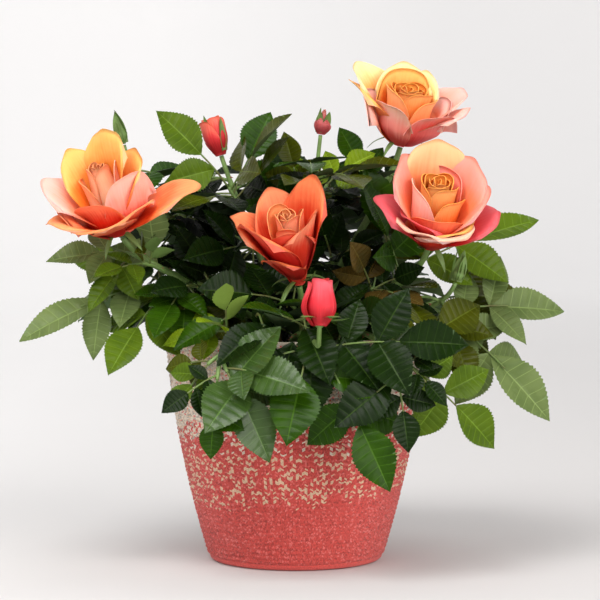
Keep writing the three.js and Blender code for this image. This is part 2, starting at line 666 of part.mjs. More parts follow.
// A mass starts with the twig and end leaf that come out best of the places tried along the cane.
function startMass(row, mass) {
  const look = heading(row.look, row.tilt);
  let best = null;
  for (const shift of TWIG_SHIFTS) {
    const twig = aimedTwig(row, row.at + shift);
    if (!stalkIsClear(twig.path, TWIG_RADIUS, mass, row.cane)) continue;
    const laid = wires.length;
    layWire(twig.path, TWIG_RADIUS, TWIG_RADIUS * TWIG_TAPER, mass, null);
    const way = directionAt(twig.path, TWIG_STEPS);
    const leaf = bestLeaf(twig.path[TWIG_STEPS], way, look, twig.size, row.pairs, mass, 10 * mass, 0);
    wires.length = laid;
    const score = (leaf ? leaf.score : -1) - Math.abs(shift) * SHIFT_COST;
    if (!best || score > best.score) best = { twig, leaf, score };
    if (leaf && leaf.grown.length === leaf.slots.length) break;
  }
  const { twig, leaf } = best;
  layWire(twig.path, TWIG_RADIUS, TWIG_RADIUS * TWIG_TAPER, mass, null);
  const solids = [limb([twig.root, ...twig.path], TWIG_RADIUS, TWIG_RADIUS * TWIG_TAPER, TWIG_SIDES)];
  if (leaf) solids.push(keepLeaf(leaf, mass, 10 * mass));
  return { row, mass, ...twig, look, solids };
}

// Side leaves stand by turns on the two sides of the twig.
function sideLeaf({ row, mass, path, size, look, solids }, k) {
  const leaf = 10 * mass + k;
  const place = 1 - k / row.leaves;
  const way = directionAt(path, Math.floor(place * TWIG_STEPS));
  const splay = ((k + mass) % 2 === 0 ? 1 : -1) * (SIDE_SPLAY + SIDE_SPREAD * jitter(leaf, 5));
  const tipped = along(look, way, LOOK_SPREAD * jitter(leaf, 6)).normalize();
  const length = size * (1 - SIDE_SHRINK * k) * (1 + SIZE_SPREAD * jitter(leaf, 7));
  const side = swung(way, squareTo(tipped, way), splay);
  const grown = bestLeaf(pointOn(path, place), side, tipped, length, row.pairs, mass, leaf, SIDE_LOOSE);
  if (grown) solids.push(keepLeaf(grown, mass, leaf));
}

// Blooms and buds stand in a frame of their own, with Z along the axis and X towards the viewer's right.

function standing(base, axis) {
  const right = squareTo(new THREE.Vector3(1, 0, 0), axis);
  const back = new THREE.Vector3().crossVectors(axis, right);
  return new THREE.Matrix4().makeBasis(right, back, axis).setPosition(base);
}

// The opening bends evenly from root to middle to edge.
function petalProfile([, length, , root, middle, edge]) {
  const profile = [{ out: PETAL_ROOT, up: HIP_LENGTH - 1, open: rad(root) }];
  const step = length / PROFILE_STEPS;
  for (let i = 1; i <= PROFILE_STEPS; i += 1) {
    const u = i / PROFILE_STEPS;
    const open = rad(root * (1 - u) * (1 - 2 * u) + middle * 4 * u * (1 - u) + edge * u * (2 * u - 1));
    const last = profile[i - 1];
    profile.push({ out: last.out + step * Math.sin(open), up: last.up + step * Math.cos(open), open });
  }
  return profile;
}

function petalWidth(u) {
  return 0.1 * (1 - u) + 1.14 * u ** 0.52 * Math.sqrt(Math.max(1 - u ** 5, 0.2));
}

function petalPoint(petal, profile, u, v, rise) {
  const [turn, , width, , , , wrap] = petal;
  const ring = profile[Math.round(u * PROFILE_STEPS)];
  const half = (width / 2) * petalWidth(u);
  const out = ring.out + rise * Math.cos(ring.open);
  const up = ring.up - rise * Math.sin(ring.open);
  const bow = Math.max(out / wrap, half / 1.9) + rise;
  const angle = (v * half) / bow;
  const x = out - bow + bow * Math.cos(angle);
  const y = bow * Math.sin(angle);
  const [cos, sin] = [Math.cos(rad(turn)), Math.sin(rad(turn))];
  return new THREE.Vector3(x * cos - y * sin, x * sin + y * cos, up);
}

// A petal is a thin lens: its two faces share the rim.
function petalSolid(petal) {
  const profile = petalProfile(petal);
  const points = [];
  const faces = [];
  const layers = [-0.5, 0.5].map((side) => {
    const grid = [];
    for (let i = 0; i <= PETAL_ROWS; i += 1) {
      for (let k = 0; k <= PETAL_COLUMNS; k += 1) {
        const rim = i === 0 || i === PETAL_ROWS || k === 0 || k === PETAL_COLUMNS;
        const v = (2 * k) / PETAL_COLUMNS - 1;
        points.push(petalPoint(petal, profile, i / PETAL_ROWS, v, rim ? 0 : side * PETAL_THICK));
        grid.push(points.length - 1);
      }
    }
    return grid;
  });
  const wide = PETAL_COLUMNS + 1;
  for (let i = 0; i < PETAL_ROWS; i += 1) {
    for (let k = 0; k < PETAL_COLUMNS; k += 1) {
      const a = i * wide + k;
      const [inner, outer] = layers.map((grid) => [grid[a], grid[a + 1], grid[a + wide + 1], grid[a + wide]]);
      faces.push(inner[0], inner[3], inner[2], inner[0], inner[2], inner[1]);
      faces.push(outer[0], outer[1], outer[2], outer[0], outer[2], outer[3]);
    }
  }
  return solidFrom(points, faces);
}

function sepalSolids(height, radius, length, spread) {
  const solids = [];
  for (let k = 0; k < SEPAL_COUNT; k += 1) {
    const round = heading((360 * k) / SEPAL_COUNT + 20, 0);
    const base = new THREE.Vector3(0, 0, height).addScaledVector(round, radius);
    const ahead = along(UP.clone().multiplyScalar(Math.cos(rad(spread))), round, Math.sin(rad(spread)));
    const across = new THREE.Vector3().crossVectors(UP, round);
    const face = new THREE.Vector3().crossVectors(ahead, across);
    const points = [along(base, ahead, -1.5), along(base, ahead, length)];
    for (const side of [-1.7, 1.7]) points.push(along(along(base, ahead, length * 0.35), across, side));
    for (const side of [0.6, -0.6]) points.push(along(along(base, ahead, length * 0.3), face, side));
    const faces = [0, 2, 4, 0, 4, 3, 1, 4, 2, 1, 3, 4, 0, 5, 2, 0, 3, 5, 1, 2, 5, 1, 5, 3];
    solids.push(solidFrom(points, faces));
  }
  return solids;
}

// The hip below a bloom, and the bowl in which the petals are rooted
function hipSolid() {
  const outline = [
    [0, 0], [STEM_RADIUS, 0], [HIP_RADIUS, HIP_LENGTH * 0.6], [HIP_RADIUS, HIP_LENGTH], [0, HIP_LENGTH + 4],
  ];
  return turned(outline, 6);
}

// The closed centre of a bloom, with upright petals round it
function heartSolids(length) {
  const base = HIP_LENGTH - 2;
  const core = [
    [0, base], [3, base], [8, base + length * 0.55], [5, base + length * 0.9], [0, base + length * 0.96],
  ];
  const solids = [turned(core, 7)];
  for (let k = 0; k < 3; k += 1) solids.push(petalSolid([120 * k + 50, length + 2, 34, 30, 16, 8, 1]));
  return solids;
}

function budSolids(bud) {
  const base = bud.neck;
  const { length, radius } = bud;
  const outline = [
    [0, base], [STEM_RADIUS, base], [radius * 0.6, base + length * 0.14], [radius, base + length * 0.4],
    [radius * 0.72, base + length * 0.74], [0, base + length],
  ];
  const solids = [turned(outline, 7)];
  solids.push(...sepalSolids(base + length * 0.15, radius * 0.5, bud.sepal, bud.spread));
  const neck = [new THREE.Vector3(), new THREE.Vector3(0, 0, base + 2)];
  if (base > 0) solids.push(limb(neck, STEM_RADIUS, STEM_RADIUS, CANE_SIDES));
  return solids;
}

function flowerBase(row) {
  const cane = caneNamed(row.cane);
  const caneWay = heading(cane.bearing, cane.lift);
  const axis = heading(row.bearing, row.lift);
  const lean = Math.sqrt(Math.max(1 - caneWay.dot(axis) ** 2, 0));
  const base = along(new THREE.Vector3(...cane.tip), caneWay, SEAT_GAP + STEM_RADIUS * lean);
  return { base, axis };
}

function placed(solids, row) {
  const { base, axis } = flowerBase(row);
  return fuse(solids).transform(standing(base, axis).elements);
}

// Build

function makePot() {
  addMesh('basket_pot', turned(potProfile(), POT_SIDES), 0xc65a4c, 0.9);
  addMesh('soil', turned(soilProfile(), POT_SIDES), 0x3a2a20, 1);
}

function makeCanes() {
  CANES.forEach((cane) => {
    const path = bend(cane).getPoints(CANE_STEPS);
    layWire(path, cane.thick, cane.thin, cane.name, null);
    addMesh(cane.name, limb(path, cane.thick, cane.thin, CANE_SIDES, UP), 0x6f8a3c, 0.6);
  });
}

function makeBlooms() {
  for (const row of BLOOMS) {
    const { base, axis } = flowerBase(row);
    const [wide, tall, high] = row.room;
    rooms.push({ centre: along(base, axis, high), axis, wide, tall });
    const solids = [hipSolid(), ...heartSolids(row.heart), ...row.petals.map(petalSolid)];
    addMesh(row.name, placed(solids, row), 0xee7a4a, 0.55);
  }
}

function makeBuds() {
  for (const row of BUDS) {
    const { base, axis } = flowerBase(row);
    const middle = row.neck + row.length / 2;
    rooms.push({ centre: along(base, axis, middle), axis, wide: row.radius + 3, tall: middle + 3 });
    addMesh(row.name, placed(budSolids(row), row), 0xd8402f, 0.55);
  }
}

function makeFoliage() {
  const masses = MASSES.map(startMass);
  for (let k = 1; k < MOST_LEAVES; k += 1) {
    for (const mass of masses) {
      if (k < mass.row.leaves) sideLeaf(mass, k);
    }
  }
  for (const { row, solids } of masses) {
    const apart = fuse(solids).subtract(caneSpace(caneNamed(row.cane)));
    addMesh(row.name, mainBody(apart), 0x2f5a24, 0.5);
  }
}

makePot();
makeCanes();
makeBlooms();
makeBuds();
makeFoliage();

export default BUSH;
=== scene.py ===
"""A potted patio rose: open blooms, buds and dense glossy leaves in a woven basket pot.

Lengths in the tables are in millimetres and angles in degrees, and the meshes are made in metres.
+Z is up, +X is the viewer's right and -Y is the side that faces the viewer.
"""

import math

import bpy
import numpy as np
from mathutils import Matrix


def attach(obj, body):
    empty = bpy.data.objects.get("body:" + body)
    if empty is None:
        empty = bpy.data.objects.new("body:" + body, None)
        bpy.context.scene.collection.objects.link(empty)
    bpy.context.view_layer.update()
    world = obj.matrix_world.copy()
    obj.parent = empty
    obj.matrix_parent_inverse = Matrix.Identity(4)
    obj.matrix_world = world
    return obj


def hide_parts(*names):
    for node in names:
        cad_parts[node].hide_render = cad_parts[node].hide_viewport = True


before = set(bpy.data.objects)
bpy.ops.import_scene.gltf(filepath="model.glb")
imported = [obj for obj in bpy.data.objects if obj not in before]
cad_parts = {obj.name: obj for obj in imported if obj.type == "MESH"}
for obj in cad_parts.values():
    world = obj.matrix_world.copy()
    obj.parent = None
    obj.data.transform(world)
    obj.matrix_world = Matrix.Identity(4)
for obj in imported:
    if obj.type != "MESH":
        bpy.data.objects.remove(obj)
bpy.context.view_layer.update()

bl_info = {
    "name": "Potted Rose Bush",
    "version": (1, 0, 0),
    "blender": (4, 5, 0),
    "location": "3D View > Sidebar > Rose Bush",
    "description": "Dresses the packed rose bush with petals, leaves, stems and woven fibre",
    "category": "Object",
}

MM = 0.001

# Pot and soil
POT_HEIGHT = 131.5
RIM_RADIUS = 75
FOOT_RADIUS = 50.5
FOOT_HEIGHT = 3.5
FLAT_RADIUS = 46
BELLY_RADIUS = 71
BELLY_HEIGHT = 72
WALL_THICK = 3.4
SHOULDER = POT_HEIGHT - 2.2
SOIL_TOP = 113

# Canes and twigs
SEAT_GAP = 0.3
CANE_STEPS = 6
CANE_RISE = 0.42
CANE_ARRIVE = 0.36
TWIG_STEPS = 3
TWIG_RADIUS = 1.3
TWIG_TAPER = 0.8
TWIG_SAG = 0.22
TWIG_SHORTEST = 6
TWIG_SHIFTS = (0, 0.04, -0.04, 0.08, -0.08, 0.12, -0.12)
AIM_ROUNDS = 8
WIRE_STEP = 2
GOLDEN_TURN = 137.5
NO_LEAF = -1
NO_HOST = -9999

# Leaves: one leaf is a stalk with an end leaflet and one or two side pairs
LEAF_HALF_WIDTH = 0.31
LEAF_CURVE = 0.13
LEAF_FOLD = 0.16
STALK_RADIUS = 0.9
STALK_DROOP = 0.3
STALK_SINK = 1.2
PAIR_SPLAY = 64
SPLAY_SPREAD = 7
FEWEST_LEAFLETS = 3
MOST_LEAVES = 3
SIDE_SPLAY = 58
SIDE_SPREAD = 10
SIDE_SHRINK = 0.08
SIZE_SPREAD = 0.06
LOOK_SPREAD = 0.2
SIDE_LOOSE = 5

# The stalk by number of side pairs: its length against the end leaflet, its nodes and the pairs' sizes
STALKS = (
    None,
    {"length": 0.72, "nodes": (0, 0.56, 1), "shares": (0.86,)},
    {"length": 1.15, "nodes": (0, 0.36, 0.75, 1), "shares": (0.72, 0.88)},
)

# Clearances that a growing leaf keeps from leaves, limbs and pot: first for the main leaves, then finer ones
MAIN_GAPS = (1.9, 1.3, 2)
FINE_GAPS = (0.6, 0.3, 1.0)
SAMPLE_ROWS = 8
LIMB_SAMPLES = 18
# Ways of lying that are tried for a leaf or leaflet: swing and pitch
LEAF_TRIES = ((0, 0), (10, 8), (-10, -8), (10, -12), (-14, 10), (24, 0), (-24, 4), (4, 26), (-4, -26))
FINE_TRIES = ((0, 0), (22, 10), (-22, -10), (8, 30), (-8, -30))
TRY_COST = 1 / 14
SHIFT_COST = 4
LEAFLET_TRIES = ((0, 0), (0, 14), (0, -16), (-12, 0), (-8, 28), (-8, -30))

# Room for the thin lines of limbs and for blades, and margins of the search for what lies near
MOST_WIRES = 60000
MOST_BLADES = 4000
BLADE_MARGIN = 1.2
LIMB_MARGIN = 4
SEARCH_MARGIN = 12

# Petals
PETAL_ROOT = 2.4
HIP_RADIUS = 3.6
HIP_LENGTH = 6
STEM_RADIUS = 1.5

# Canes: name, foot (x, y), tip (x, y, z), bearing and lift at the tip, radius at foot and tip
CANE_FIELDS = ("name", "foot", "tip", "bearing", "lift", "thick", "thin")
CANES = [dict(zip(CANE_FIELDS, row)) for row in (
    ("left_bloom_cane", (-16, -8), (-97, -40, 187), 205, 52, 2.7, 1.6),
    ("middle_bloom_cane", (2, -18), (2, -46, 160), -110, 64, 2.5, 1.6),
    ("top_bloom_cane", (13, 8), (60, 8, 237), 0, 74, 2.9, 1.6),
    ("right_bloom_cane", (20, -12), (74, -38, 181), -60, 62, 2.6, 1.6),
    ("front_bud_cane", (-4, -32), (12, -93, 131), -78, -10, 2.0, 1.5),
    ("front_left_cane", (-18, -26), (-42, -90, 122), -112, -46, 2.0, 1.4),
    ("front_right_cane", (18, -27), (54, -86, 122), -56, -46, 2.0, 1.4),
    ("red_bud_cane", (-10, 6), (-43, 8, 232), 170, 72, 2.4, 1.3),
    ("small_bud_cane", (3, 3), (14, -2, 244), 0, 84, 2.3, 1.1),
    ("left_bud_cane", (-20, 14), (-100, 24, 238), 185, 76, 2.4, 1.1),
    ("right_bud_cane", (28, 4), (90, -28, 161), -20, 68, 2.2, 1.2),
    ("back_left_cane", (-12, 26), (-52, 66, 190), 125, 52, 2.6, 1.4),
    ("back_cane", (4, 24), (8, 58, 210), 95, 66, 2.6, 1.4),
    ("back_right_cane", (20, 22), (72, 56, 186), 42, 50, 2.6, 1.4),
)]

# Open blooms, each on the cane of its name: name, bearing and lift of the axis, the room that the bloom
# fills (how wide, how tall and how high its centre stands), its heart, its wraps and its petals.
# The heart is: bearing, lift, length, radius, how far its rim closes, how far its rim flares, tone.
# A wrap stands round the heart and is: turn, radius, height, half its sweep, flare, tone.
# A petal is: turn about the axis, length, width, opening at its root, middle and edge, how closely it wraps
# the axis, tone.
BLOOM_FIELDS = ("name", "bearing", "lift", "room", "heart", "wraps", "petals")
BLOOMS = [dict(zip(BLOOM_FIELDS, row)) for row in (
    ("left_bloom", -132, 60, (42, 27, 24), (-150, 68, 43, 8, 0.35, 0.0, "pale"), (
        (16, 11, 43, 62, 0.12, "blush"), (-46, 17.5, 33, 50, 0.3, "blush"), (-114, 17, 25, 46, 0.4, "ember"),
        (190, 10, 36, 62, 0.1, "pale"), (-172, 19, 25, 46, 0.45, "ember"), (140, 18, 26, 44, 0.4, "gold"),
    ), (
        (52, 56, 44, 32, 12, 12, 0.8, "gold"), (126, 50, 36, 36, 16, 22, 0.8, "gold"),
        (168, 48, 44, 52, 30, 36, 0.75, "pink"), (-156, 40, 42, 66, 50, 58, 0.7, "peach"),
        (-108, 34, 44, 72, 54, 62, 0.7, "peach"), (-58, 38, 44, 70, 54, 60, 0.7, "peach"),
        (-6, 51, 44, 74, 70, 80, 0.6, "peach"), (30, 44, 40, 44, 28, 34, 0.8, "gold"),
    )),
    ("middle_bloom", -112, 64, (28, 32, 26), (-114, 66, 45, 6.4, 0.12, 0.06, "peach"), (
        (-104, 8, 37, 60, 0.06, "peach"), (130, 8.5, 45, 70, 0.1, "peach"), (10, 8.5, 43, 60, 0.1, "peach"),
    ), (
        (42, 56, 42, 38, 16, 12, 0.85, "coral"), (110, 50, 40, 40, 20, 24, 0.85, "ember"),
        (166, 49, 40, 46, 28, 38, 0.8, "ember"), (-150, 50, 44, 42, 24, 28, 0.85, "coral"),
        (-92, 38, 42, 38, 16, 16, 0.9, "coral"), (-28, 45, 42, 36, 16, 12, 0.9, "ember"),
        (-126, 29, 30, 54, 34, 44, 0.8, "coral"),
    )),
    ("top_bloom", -74, 78, (36, 24, 22), (-64, 70, 35, 10.5, 0.0, 0.12, "heart"), (
        (100, 13, 39, 78, 0.2, "gold"), (-150, 12, 34, 62, 0.2, "gold"), (-20, 12.5, 29, 64, 0.2, "gold"),
        (-126, 17, 28, 44, 0.3, "pink"), (-52, 17.5, 25, 42, 0.5, "rose"), (172, 16.5, 27, 50, 0.5, "pink"),
        (20, 17, 26, 44, 0.5, "pink"),
    ), (
        (92, 42, 46, 40, 14, 10, 0.85, "cream"), (148, 48, 52, 50, 30, 36, 0.8, "cream"),
        (178, 42, 44, 54, 36, 42, 0.8, "gold"), (26, 44, 50, 60, 48, 46, 0.8, "pink"),
        (-6, 40, 42, 66, 58, 62, 0.7, "pink"), (56, 40, 40, 44, 24, 24, 0.8, "cream"),
    )),
    ("right_bloom", -78, 52, (33, 27, 22), (-76, 62, 43, 9, 0.0, 0.12, "heart"), (
        (-158, 13, 40, 66, 0.14, "blush"), (-40, 12, 34, 56, 0.2, "heart"),
        (-90, 16.5, 27, 64, 0.22, "ember"), (60, 12, 42, 70, 0.2, "rose"),
    ), (
        (48, 50, 54, 42, 26, 32, 0.85, "rose"), (92, 55, 54, 40, 26, 36, 0.85, "apricot"),
        (138, 49, 52, 42, 26, 34, 0.85, "rose"), (-176, 42, 34, 60, 42, 62, 0.65, "crimson"),
        (-120, 37, 42, 60, 38, 50, 0.78, "blush"), (-62, 37, 40, 60, 38, 54, 0.78, "blush"),
        (0, 41, 36, 62, 48, 60, 0.65, "crimson"), (14, 44, 46, 44, 28, 34, 0.8, "rose"),
        (-136, 34, 38, 52, 30, 36, 0.85, "crimson"), (-44, 33, 36, 54, 34, 44, 0.85, "gold"),
    )),
)]

# Buds, each on the cane of its name: name, bearing, lift, neck below the bud, length, radius, sepal length,
# sepal spread, how far the petals close at the top, how far each petal's middle stands above its sides, the
# share of their height at which they are widest, whether the sepals still cover them, tone
BUD_FIELDS = (
    "name", "bearing", "lift", "neck", "length", "radius", "sepal", "spread", "closing", "point", "widest",
    "closed", "tone")
BUDS = [dict(zip(BUD_FIELDS, row)) for row in (
    ("front_bud", 75, 80, 11, 25.5, 9.6, 14, 84, 0.34, 0.06, 0.42, False, "bud"),
    ("red_bud", 165, 74, 0, 22, 7.4, 20, 14, 0.0, 0.42, 0.6, False, "scarlet"),
    ("small_bud", 10, 80, 0, 14, 4.6, 13, 8, 0.8, 0.2, 0.4, False, "mauve"),
    ("left_bud", 190, 76, 0, 14, 4.2, 19, 4, 0.8, 0.2, 0.4, True, "mauve"),
    ("right_bud", 0, 74, 0, 11, 4.6, 17, 12, 0.8, 0.2, 0.4, True, "mauve"),
)]

# Foliage masses: name, cane, fraction of the cane where the twig starts, place that the end leaflet's tip
# reaches, leaves, side pairs on each, length of the end leaflet, bearing and tilt that the leaves face, tone
MASS_FIELDS = ("name", "cane", "at", "tip", "leaves", "pairs", "size", "look", "tilt", "tone")
MASSES = [dict(zip(MASS_FIELDS, row)) for row in (
    ("far_left", "left_bloom", 0.55, (-155, -45, 131), 3, 2, 48, -100, 50, "pale"),
    ("left_upper", "left_bloom", 0.8, (-141, -30, 174), 2, 1, 30, -110, 42, "pale"),
    ("left_under", "left_bloom", 0.6, (-112, -62, 166), 2, 1, 30, -95, 50, "fresh"),
    ("left_front", "left_bloom", 0.6, (-78, -72, 133), 2, 1, 36, -100, 40, "green"),
    ("left_inner", "left_bloom", 0.42, (-80, -62, 158), 2, 1, 36, -95, 30, "deep"),
    ("left_dark", "red_bud", 0.5, (-63, -45, 175), 2, 1, 38, -80, 20, "deep"),
    ("top_left", "red_bud", 0.7, (-80, -6, 258), 2, 1, 36, -80, 25, "fresh"),
    ("top_middle", "small_bud", 0.5, (-7, 5, 246), 3, 1, 36, -85, 5, "olive"),
    ("top_right", "top_bloom", 0.66, (34, 8, 252), 2, 1, 26, -85, 20, "green"),
    ("bright", "small_bud", 0.62, (39, 15, 239), 2, 1, 28, -95, 25, "bright"),
    ("dark_middle", "top_bloom", 0.34, (9, -24, 205), 3, 1, 36, -85, 20, "deep"),
    ("right_upper", "right_bloom", 0.56, (140, 8, 196), 2, 2, 42, -90, 45, "fresh"),
    ("right_back", "right_bud", 0.6, (138, 25, 147), 2, 1, 36, -70, 35, "olive"),
    ("far_right", "right_bud", 0.74, (144, -35, 84), 2, 2, 44, -75, 28, "pale"),
    ("right_low", "right_bud", 0.84, (97, -50, 104), 2, 1, 36, -85, 20, "olive"),
    ("right_front_low", "front_right", 0.93, (110, -64, 71), 2, 2, 40, -80, 30, "fresh"),
    ("right_rim", "front_right", 0.97, (61, -98, 73), 2, 1, 34, -85, 25, "deep"),
    ("front_right", "front_right", 0.85, (82, -94, 98), 2, 1, 40, -88, 35, "deep"),
    ("front_middle", "front_bud", 0.86, (-4, -112, 84), 2, 1, 30, -90, 15, "green"),
    ("front_low", "front_bud", 0.96, (51, -105, 53), 2, 2, 40, -88, 20, "green"),
    ("front_left_low", "front_left", 0.96, (-46, -102, 70), 2, 2, 36, -95, 20, "green"),
    ("front_left", "front_left", 0.88, (-22, -104, 70), 2, 1, 34, -88, 30, "blue"),
    ("front_left_upper", "front_left", 0.84, (-68, -92, 92), 2, 1, 36, -105, 30, "fresh"),
    ("left_rim", "front_left", 0.6, (-74, -62, 128), 2, 1, 30, -110, 40, "bright"),
    ("middle_left", "middle_bloom", 0.6, (-50, -64, 168), 2, 1, 36, -95, 25, "deep"),
    ("middle_right", "middle_bloom", 0.42, (59, -68, 140), 3, 1, 38, -85, 35, "deep"),
    ("bronze", "right_bloom", 0.5, (30, -62, 176), 3, 1, 32, -85, 25, "bronze"),
    ("back_left_low", "back_left", 0.45, (-130, 55, 135), 2, 2, 42, 150, 40, "green"),
    ("back_left_high", "back_left", 0.78, (-100, 100, 196), 2, 1, 40, 130, 45, "green"),
    ("back_left", "left_bud", 0.62, (-128, 52, 195), 2, 1, 38, 160, 40, "deep"),
    ("back_low", "back", 0.42, (-20, 138, 128), 2, 2, 44, 90, 35, "green"),
    ("back_middle", "back", 0.66, (30, 122, 188), 3, 1, 38, 80, 40, "deep"),
    ("back_high", "back", 0.78, (4, 98, 226), 2, 1, 38, 85, 40, "fresh"),
    ("back_right_low", "back_right", 0.45, (122, 72, 125), 2, 2, 42, 35, 38, "green"),
    ("back_right_high", "back_right", 0.78, (104, 96, 196), 2, 1, 40, 50, 45, "olive"),
)]

# Leaf tones: upper face and its shade. Some tones hold painted light, as told beside them.
LEAF_TONES = {
    # Partly the leaves' own dark green and partly painted shade of leaves deep in the foliage
    "deep": ((0.007, 0.019, 0.002), (0.003, 0.010, 0.001)),
    "green": ((0.022, 0.062, 0.002), (0.009, 0.030, 0.001)),
    "fresh": ((0.078, 0.132, 0.008), (0.044, 0.084, 0.004)),
    "bright": ((0.180, 0.270, 0.010), (0.105, 0.180, 0.007)),
    "olive": ((0.050, 0.060, 0.002), (0.026, 0.034, 0.001)),
    "bronze": ((0.074, 0.046, 0.010), (0.036, 0.030, 0.006)),
    # Partly painted sheen: a lighter bluish green for glossy front leaves, which also mirror more light
    "blue": ((0.042, 0.084, 0.016), (0.020, 0.050, 0.007)),
    # Mostly painted sheen: a pale grey-green for leaves that catch the light
    "pale": ((0.130, 0.178, 0.058), (0.080, 0.122, 0.034)),
    # Near black: painted shade for the finer leaflets deep in the crown
    "dusk": ((0.0035, 0.008, 0.0012), (0.002, 0.004, 0.001)),
}
TONE_ORDER = tuple(LEAF_TONES)

# The tones that a side leaf of each tone may take
NEAR_TONES = {
    "deep": ("deep", "green", "deep", "deep"),
    "green": ("green", "deep", "green", "olive"),
    "fresh": ("fresh", "olive", "green", "olive"),
    "bright": ("bright", "fresh", "bright", "fresh"),
    "olive": ("olive", "green", "olive", "deep"),
    "bronze": ("bronze", "olive", "deep", "bronze"),
    "blue": ("blue", "green", "blue", "deep"),
    "pale": ("pale", "fresh", "pale", "olive"),
}

# Petal tones: colours at root, middle and rim of the inner face, then of the outer face. The dark roots are
# partly the petals' own colour and partly painted shade deep in the cup, and the coral and ember tones are
# kept dark partly as painted shade inside the blooms.
PETAL_TONES = {
    "gold": ((0.82, 0.09, 0.008), (0.93, 0.25, 0.03), (0.97, 0.46, 0.12),
             (0.86, 0.13, 0.04), (0.93, 0.28, 0.09), (0.96, 0.46, 0.20)),
    "cream": ((0.90, 0.18, 0.015), (0.95, 0.38, 0.07), (0.97, 0.72, 0.34),
              (0.86, 0.16, 0.10), (0.94, 0.36, 0.18), (0.97, 0.68, 0.40)),
    "peach": ((0.58, 0.018, 0.006), (0.86, 0.12, 0.018), (0.94, 0.32, 0.12),
              (0.62, 0.035, 0.018), (0.84, 0.14, 0.06), (0.94, 0.34, 0.19)),
    "coral": ((0.40, 0.006, 0.004), (0.70, 0.044, 0.010), (0.88, 0.19, 0.065),
              (0.34, 0.004, 0.003), (0.52, 0.016, 0.010), (0.80, 0.115, 0.065)),
    "pink": ((0.88, 0.16, 0.03), (0.93, 0.30, 0.15), (0.95, 0.46, 0.40),
             (0.74, 0.07, 0.07), (0.92, 0.27, 0.22), (0.97, 0.56, 0.44)),
    "apricot": ((0.84, 0.12, 0.02), (0.92, 0.25, 0.09), (0.95, 0.42, 0.20),
                (0.78, 0.09, 0.06), (0.89, 0.22, 0.14), (0.94, 0.40, 0.24)),
    "rose": ((0.70, 0.04, 0.012), (0.88, 0.20, 0.07), (0.90, 0.28, 0.22),
             (0.60, 0.03, 0.035), (0.80, 0.12, 0.10), (0.92, 0.34, 0.30)),
    "ember": ((0.36, 0.006, 0.003), (0.62, 0.028, 0.006), (0.89, 0.22, 0.09),
              (0.34, 0.005, 0.003), (0.62, 0.028, 0.008), (0.90, 0.26, 0.14)),
    "blush": ((0.74, 0.06, 0.02), (0.92, 0.25, 0.10), (0.96, 0.50, 0.36),
              (0.80, 0.12, 0.08), (0.93, 0.34, 0.26), (0.96, 0.55, 0.47)),
    "pale": ((0.55, 0.012, 0.006), (0.86, 0.12, 0.02), (0.94, 0.34, 0.14),
             (0.88, 0.22, 0.08), (0.95, 0.50, 0.30), (0.92, 0.34, 0.18)),
    "crimson": ((0.55, 0.015, 0.012), (0.62, 0.025, 0.035), (0.76, 0.10, 0.12),
                (0.50, 0.014, 0.028), (0.62, 0.03, 0.05), (0.78, 0.12, 0.14)),
    "heart": ((0.46, 0.008, 0.004), (0.86, 0.13, 0.01), (0.94, 0.34, 0.06),
              (0.70, 0.04, 0.005), (0.90, 0.18, 0.018), (0.95, 0.40, 0.13)),
    "bud": ((0.40, 0.006, 0.008), (0.62, 0.014, 0.022), (0.76, 0.05, 0.06),
            (0.46, 0.010, 0.018), (0.68, 0.022, 0.038), (0.84, 0.10, 0.13)),
    "scarlet": ((0.42, 0.009, 0.009), (0.68, 0.03, 0.022), (0.86, 0.15, 0.08),
                (0.36, 0.009, 0.012), (0.62, 0.026, 0.03), (0.86, 0.15, 0.10)),
    "mauve": ((0.36, 0.04, 0.04), (0.42, 0.06, 0.06), (0.48, 0.10, 0.09),
              (0.32, 0.04, 0.045), (0.40, 0.07, 0.07), (0.48, 0.12, 0.11)),
}

# Masses whose side leaves differ in tone from their end leaf
SIDE_TONES = {"far_left": "fresh", "front_low": "deep", "right_front_low": "olive"}


# Directions and places


rad = math.radians


def unit(vector):
    return vector / math.sqrt(vector @ vector)


def cross(a, b):
    return np.array((a[1] * b[2] - a[2] * b[1], a[2] * b[0] - a[0] * b[2], a[0] * b[1] - a[1] * b[0]))


UP = np.array((0.0, 0.0, 1.0))
RIGHT = np.array((1.0, 0.0, 0.0))


def heading(bearing, lift):
    level = math.cos(rad(lift))
    return np.array((level * math.cos(rad(bearing)), level * math.sin(rad(bearing)), math.sin(rad(lift))))


def jitter(first, second):
    """A repeatable number from -1 to 1 for each pair of whole numbers."""
    wave = math.sin(first * 12.9898 + second * 78.233) * 43758.5453
    return 2 * (wave - math.floor(wave)) - 1


def square_to(vector, axis):
    """The part of a vector that is square to a unit axis, at unit length."""
    return unit(vector - axis * (vector @ axis))


def swung(direction, axis, degrees):
    cos, sin = math.cos(rad(degrees)), math.sin(rad(degrees))
    return direction * cos + cross(axis, direction) * sin + axis * ((axis @ direction) * (1 - cos))


def direction_at(points, i):
    return unit(points[min(i + 1, len(points) - 1)] - points[max(i - 1, 0)])


def point_on(points, fraction):
    place = fraction * (len(points) - 1)
    i = min(int(place), len(points) - 2)
    return points[i] + (points[i + 1] - points[i]) * (place - i)


def wall_radius(height):
    drop = FOOT_HEIGHT - height
    bow = POT_HEIGHT - 2 * BELLY_HEIGHT + FOOT_HEIGHT
    rise = 2 * (BELLY_HEIGHT - FOOT_HEIGHT)
    t = (np.sqrt(rise * rise - 4 * bow * drop) - rise) / (2 * bow)
    return (1 - t) ** 2 * FOOT_RADIUS + 2 * t * (1 - t) * BELLY_RADIUS + t * t * RIM_RADIUS


